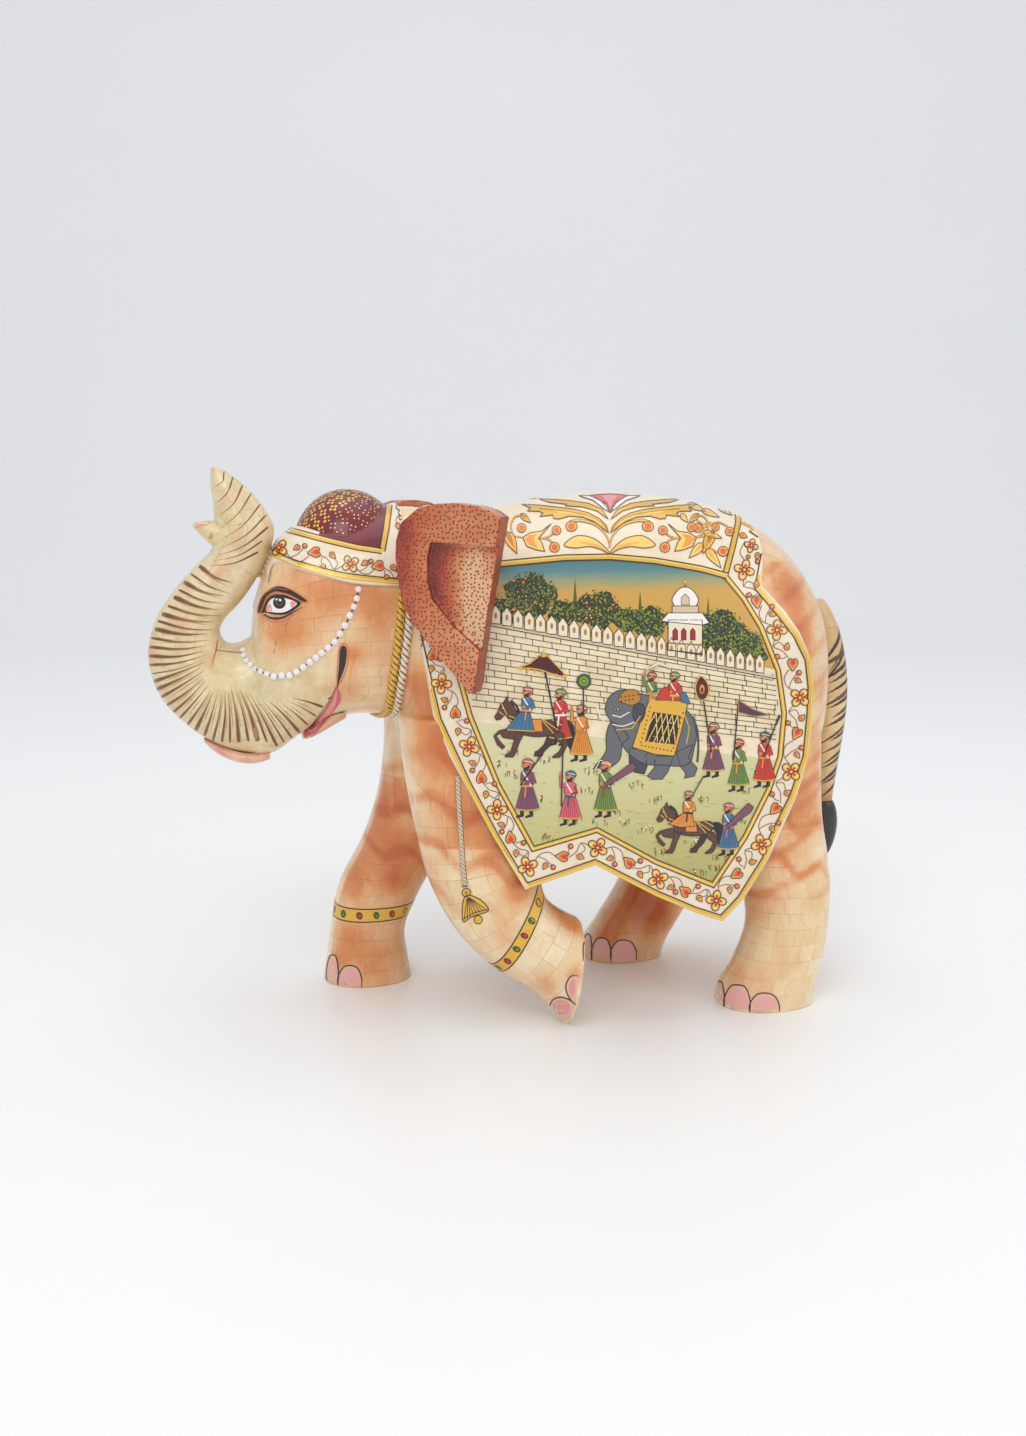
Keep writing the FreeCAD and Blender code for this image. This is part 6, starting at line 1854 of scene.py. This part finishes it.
# ------------------------------------------------------------------ twisted ropes
def rope(name, pts, r_, key, dark, sgn=1, lift=0.35, strands=3, pitch=0.0030):
    """Twisted cord laid on the surface along 3-D points with normals."""
    P3 = [p for p, n in pts]
    NN = [n for p, n in pts]
    s = [0.0]
    for a, b in zip(P3[:-1], P3[1:]):
        s.append(s[-1] + (b - a).length)
    n_ = int(s[-1] / 0.00045)
    bm = bmesh.new()
    m_ = 18
    prev = None
    mats = []
    for i in range(n_ + 1):
        t_ = s[-1] * i / n_
        k = min(max(int(np.searchsorted(s, t_)) - 1, 0), len(s) - 2)
        u = (t_ - s[k]) / max(1e-9, s[k + 1] - s[k])
        c = P3[k].lerp(P3[k + 1], u)
        nn = NN[k].lerp(NN[k + 1], u).normalized()
        tg = (P3[min(k + 2, len(P3) - 1)] - P3[max(k - 1, 0)]).normalized()
        sd = tg.cross(nn).normalized()
        ring_ = []
        for q in range(m_):
            a_ = 2 * math.pi * q / m_
            ph = strands * (a_ - 2 * math.pi * t_ / (pitch * strands))
            rad = r_ * (0.84 + 0.16 * abs(math.cos(ph / 2)))
            v = c + sd * math.cos(a_) * rad + nn * (math.sin(a_) * rad * 0.72 + r_ * lift)
            ring_.append((bm.verts.new((v.x, v.y * sgn, v.z)), abs(math.cos(ph / 2))))
        if prev:
            for q in range(m_):
                q2 = (q + 1) % m_
                f_ = bm.faces.new((prev[q][0], prev[q2][0], ring_[q2][0], ring_[q][0]))
                f_.smooth = True
                f_.material_index = 1 if (prev[q][1] + prev[q2][1] + ring_[q2][1] + ring_[q][1]) / 4 < 0.42 else 0
        else:
            bm.faces.new([v[0] for v in ring_])
        prev = ring_
    bm.faces.new([v[0] for v in reversed(prev)])
    bmesh.ops.recalc_face_normals(bm, faces=bm.faces)
    me = bpy.data.meshes.new(name)
    bm.to_mesh(me)
    bm.free()
    o = add_obj(name, me, [P[key], P[dark]])
    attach(o, "root")
    return o


def sheet_path(pts, n=5, target=None):
    out = []
    for x, y in curve(pts, n):
        o, d = sheet_ray(x, y)
        hit = (target or T_BODY).cast(o, d)
        if hit:
            out.append(hit)
    return out


def neck_path(x_off):
    """From behind the ear down the neck side, under the throat to the middle."""
    pts = sheet_path([(404 + x_off, 560), (401 + x_off, 606), (397.5 + x_off * 0.97, 640), (393 + x_off * 0.95, 675), (388 + x_off * 0.9, 709)], 5)
    last = pts[-1][0]
    for a in range(1, 9):
        y = last.y * (1 - a / 8.0)
        hit = T_BODY.cast(Vector((last.x - 0.0005 * a, y, 0.05)), Vector((0, 0, 1)))
        if hit and hit[0].z > 0.12:
            pts.append(hit)
    return pts


for tag, sg in (("near", 1), ("far", -1)):
    rope("neck_rope_gold_" + tag, neck_path(0.5), 0.00225, "gold", "umber", sg)
    rope("neck_rope_cream_" + tag, neck_path(9.6), 0.0022, "cream", "plum_lo", sg)
tas = sheet_path([(457.5, 776), (458.5, 800), (460.5, 830), (462.5, 860), (464.8, 885)], 6)
rope("tassel_cord", tas, 0.00125, "cream_lo", "plum_lo", 1, pitch=0.0022)

leg = Paint("leg_painting", T_BODY, base=0.10, step=0.035)
leg.line([(457.5, 779), (458.6, 800), (460.6, 830), (462.6, 860), (464.9, 887)], 5.4, "line", 0)
# tassel
leg.disc(466.3, 892.5, 4.2, "gold", 3, n=14, outline="line", ow=0.9)
leg.disc(466.3, 892.5, 1.8, "gold_lo", 5, n=10)
leg.poly(curve([(465.5, 896), (462.5, 906), (463.2, 921.5), (470, 917.5), (478, 914.5), (488.5, 910), (482, 901), (471.5, 895.5)], 4, True), "gold", 3, cell=4, outline="line", ow=1.0)
for k in range(8):
    a_ = (467.2 + k * 0.35, 897.5)
    b_ = (464.2 + k * 3.2, 919.5 - k * 1.4)
    leg.line([a_, b_], 0.75, "umber", 5)
leg.disc(478.2, 919.6, 4.2, "gold", 2, n=12, outline="line", ow=0.9)
leg.line(curve([(463.5, 919), (472, 913.5), (480, 911), (488, 909.5)], 4), 0.8, "umber", 6)

# toenails of the near fore foot
leg.poly(curve([(573.5, 975), (568, 979.5), (565.8, 988), (568.5, 996), (574.5, 1002), (577, 990), (578.2, 976.5)], 4, True), "nail", 1, cell=4)
leg.poly(curve([(574, 978), (569.5, 983), (569, 990), (573, 996), (575.5, 985)], 4, True), "pink", 2, cell=4)
leg.line(curve([(578.2, 975.8), (571, 976.3), (566.2, 984), (566.6, 992), (571, 1000), (575.5, 1004)], 5), 1.3, "umber", 3, taper=([0, .2, .8, 1], [.5, 1, 1, .5]))
leg.poly(curve([(550, 1006), (552.5, 1000), (559, 997.3), (567.5, 998.2), (574, 1003.5), (571, 1014), (566.5, 1027), (556.5, 1024.5), (551.5, 1015)], 4, True), "nail", 1, cell=4)
leg.poly(curve([(553, 1005), (558, 1000), (566, 1001), (570, 1006), (566, 1014), (556, 1013)], 4, True), "pink", 2, cell=4)
leg.line(curve([(576, 1005), (569, 999.5), (560, 997), (552.5, 1000.2), (550.2, 1007), (553.5, 1016), (559, 1025)], 5), 1.3, "umber", 3, taper=([0, .2, .8, 1], [.5, 1, 1, .5]))
leg.poly(curve([(532, 1006), (534, 1003.5), (540, 1005), (549, 1008.5), (552.5, 1018), (557, 1026), (547, 1024), (538, 1018)], 4, True), "nail", 1, cell=4)
leg.line(curve([(531, 1004.5), (536, 1002.8), (543, 1005), (549.8, 1009)], 5), 1.2, "umber", 3, taper=([0, .3, 1], [.3, 1, .6]))
# near hind foot
for x0, x1, yt, yb in ((712.8, 724.5, 981, 1010), (724.5, 750, 985, 1014), (750, 779, 993, 1016)):
    xm = (x0 + x1) / 2
    q = curve([(x0, yb), (x0 - 0.4, (yt + yb) / 2), (x0 + (x1 - x0) * 0.22, yt + 2), (xm, yt), (x1 - (x1 - x0) * 0.18, yt + 2.4), (x1, (yt + yb) / 2), (x1, yb)], 5)
    leg.poly(q, "nail", 1, cell=5)
    leg.poly([(xm + (a - xm) * 0.72, (yt + yb) / 2 - 2 + (b - (yt + yb) / 2) * 0.5) for a, b in q], "nail_lo", 2, cell=5)
    leg.line(q, 1.3, "umber", 3, taper=([0, .2, .8, 1], [.5, 1, 1, .5]))
leg.build(mirror=False, slot="bone_veneer")

legf = Paint("far_leg_painting", T_BODY, base=0.10, step=0.035)
for x0, x1, yt, yb in ((327, 338.4, 955, 984), (338.4, 361.5, 965.5, 990), (583.5, 592, 934, 961), (592, 611, 938, 963.5), (611, 636, 940, 962.5)):
    xm = (x0 + x1) / 2
    q = curve([(x0, yb), (x0 - 0.4, (yt + yb) / 2), (x0 + (x1 - x0) * 0.22, yt + 2), (xm, yt), (x1 - (x1 - x0) * 0.18, yt + 2.4), (x1, (yt + yb) / 2), (x1, yb)], 5)
    legf.poly(q, "nail", 1, cell=5)
    legf.poly([(xm + (a - xm) * 0.72, (yt + yb) / 2 - 2 + (b - (yt + yb) / 2) * 0.5) for a, b in q], "nail_lo", 2, cell=5)
    legf.line(q, 1.3, "umber", 3, taper=([0, .2, .8, 1], [.5, 1, 1, .5]))
legf.build(mirror=False, slot="bone_veneer")


# ------------------------------------------------------------------ anklets
def anklet(name, c, e1, e2, ax, width, n_dots, phase, wob=0.0):
    """Gilt band painted round a leg: u runs round it, v along it, in millimetres."""
    c, e1, e2, ax = Vector(c), Vector(e1).normalized(), Vector(e2).normalized(), Vector(ax).normalized()

    def ray(u, v):
        a = u / 26.0
        d = e1 * math.cos(a) + e2 * math.sin(a)
        return c + ax * (v * MM) + d * 0.07, -d

    pn = Paint(name, T_BODY, ray=ray, base=0.12, step=0.03, depth=0.04)
    tot = 2 * math.pi * 26.0
    n = 60
    for k in range(n):
        u0, u1 = tot * k / n, tot * (k + 1) / n
        for v0, v1, key, lay in ((-width / 2, width / 2, "gold", 1), (-width / 2 - 0.35, -width / 2 + 0.35, "line", 2), (width / 2 - 0.35, width / 2 + 0.35, "line", 2)):
            pn._add([(u0, v0), (u1, v0), (u1, v1), (u0, v1)], [(0, 1, 2, 3)], key, lay)
    for k in range(n_dots):
        u = tot * (k + phase) / n_dots
        pn.disc(u, 0, 2.0, "emerald" if k % 2 == 0 else "crimson", 3, ry=2.0, n=14, outline="line", ow=0.45)
        pn.disc(u - 0.4, 0.5, 0.45, "leaf" if k % 2 == 0 else "rose", 5, n=7)
    pn.build(mirror=False, slot="bone_veneer")


def plane_point(px, py, y):
    o, d = sheet_ray(px, py)
    t_ = (y - o.y) / d.y
    return o + d * t_


pa = on_sheet(522, 938, T_BODY)
ca = Vector((pa.x, -0.0485, pa.z))
axl = Vector((0.87, 0, -0.49))
anklet("anklet_near", ca + axl * 0.0005, (-axl.z, 0, axl.x), (0, -1, 0), axl, 6.4, 14, 0.3)
pb = plane_point(368, 916, 0.023)
cb = Vector((-0.0745, 0.043, pb.z))
anklet("anklet_far", cb, (0, -1, 0), (-1, 0, 0), (0.10, 0, -1), 7.4, 14, 0.25)


# ------------------------------------------------------------------ tail rings
T_TAIL = Target([tailo.data])


def tail_ray(u, v):
    """v is the height in millimetres, u the way round the tail in degrees."""
    z = v * MM
    cx = np.interp(-z, [-0.212, -0.198, -0.180, -0.163, -0.143, -0.123, -0.104], [0.171, 0.1785, 0.183, 0.1848, 0.184, 0.1823, 0.1813])
    a = math.radians(u)
    d = Vector((math.cos(a), math.sin(a), 0.0))
    cx -= 0.0 * min(1.0, max(0.0, (0.2 - z) / 0.09))
    return Vector((cx, 0, z)) + d * 0.03, -d


tl = Paint("tail_rings", T_TAIL, ray=tail_ray, base=0.06, step=0.03, depth=0.02)
zz = 204.0
i = 0
while zz > 112:
    for side in (1, -1):
        w0 = 2.6 + rnd.random() * 1.5
        reach = 100 + rnd.random() * 70
        slope = 0.07 + rnd.random() * 0.03
        if zz > 190:
            slope += 0.10
        pts = [(side * a_, zz - a_ * slope + rnd.uniform(-0.2, 0.2)) for a_ in np.linspace(-4, reach, 26)]
        k_ = len(pts)
        wid = [w0 * max(0.05, 1 - (j / (k_ - 1)) ** 1.6) for j in range(k_)]
        vs = [(p[0], p[1] + w_ / 2) for p, w_ in zip(pts, wid)] + [(p[0], p[1] - w_ / 2) for p, w_ in zip(pts, wid)]
        tl._add(vs, [(j, j + 1, k_ + j + 1, k_ + j) for j in range(k_ - 1)], "brown" if i % 2 else "umber", 1)
    zz -= 4.3 + rnd.random() * 1.4
    i += 1
tl.build(mirror=False, slot="painted_wood")


# ------------------------------------------------------------------ studio
def big_plane():
    """Floor that rises in a smooth sweep behind the object."""
    prof = [(-2.2, 0.0), (1.6, 0.0)]
    for i in range(1, 17):
        a = i / 16 * math.pi / 2
        prof.append((1.6 + 1.2 * math.sin(a), 1.2 - 1.2 * math.cos(a)))
    prof.append((2.8, 4.5))
    v, f = [], []
    for i, (y, z) in enumerate(prof):
        v += [(-4.0, y, z), (4.0, y, z)]
    for i in range(len(prof) - 1):
        f.append((2 * i, 2 * i + 1, 2 * i + 3, 2 * i + 2))
    me = bpy.data.meshes.new("floor")
    me.from_pydata([tuple(Matrix.Rotation(-AZ, 3, "Z") @ Vector(p)) for p in v], [], f)
    me.update()
    me.shade_smooth()
    return me


m_floor, nt, b = new_mat("studio_floor")
vec = obj_vec(nt)
nf = noise(nt, vec, 3.0, 3.0)
nt.links.new(mix(nt, nf, lin(247, 247, 246), lin(245, 245, 244)), b.inputs["Base Color"])
b.inputs["Roughness"].default_value = 0.32
b.inputs["Specular IOR Level"].default_value = 0.35
floor = add_obj("studio_floor", big_plane(), [m_floor])

world = bpy.data.worlds.new("studio")
bpy.context.scene.world = world
world.use_nodes = True
world.node_tree.nodes["Background"].inputs[0].default_value = (0.93, 0.96, 1.0, 1.0)
world.node_tree.nodes["Background"].inputs[1].default_value = 0.76


def lamp(name, loc, target, size, power, color=(1, 1, 1)):
    d = bpy.data.lights.new(name, "AREA")
    d.shape = "RECTANGLE"
    d.size, d.size_y = size
    d.energy = power
    d.color = color
    o = bpy.data.objects.new(name, d)
    o.location = loc
    o.rotation_mode = "QUATERNION"
    o.rotation_quaternion = (Vector(loc) - Vector(target)).to_track_quat("Z", "Y")
    coll.objects.link(o)
    return o


lamp("key", (-0.9, -1.5, 1.7), (0, 0, 0.12), (1.2, 1.0), 13.0, (1.0, 0.985, 0.96))
lamp("fill", (1.5, -1.3, 0.9), (0, 0, 0.14), (1.0, 1.2), 6.0, (0.97, 0.985, 1.0))
lamp("over", (0.1, 0.2, 2.0), (0, 0, 0.1), (1.8, 1.4), 7.5)
bpy.context.scene.view_settings.view_transform = "Standard"
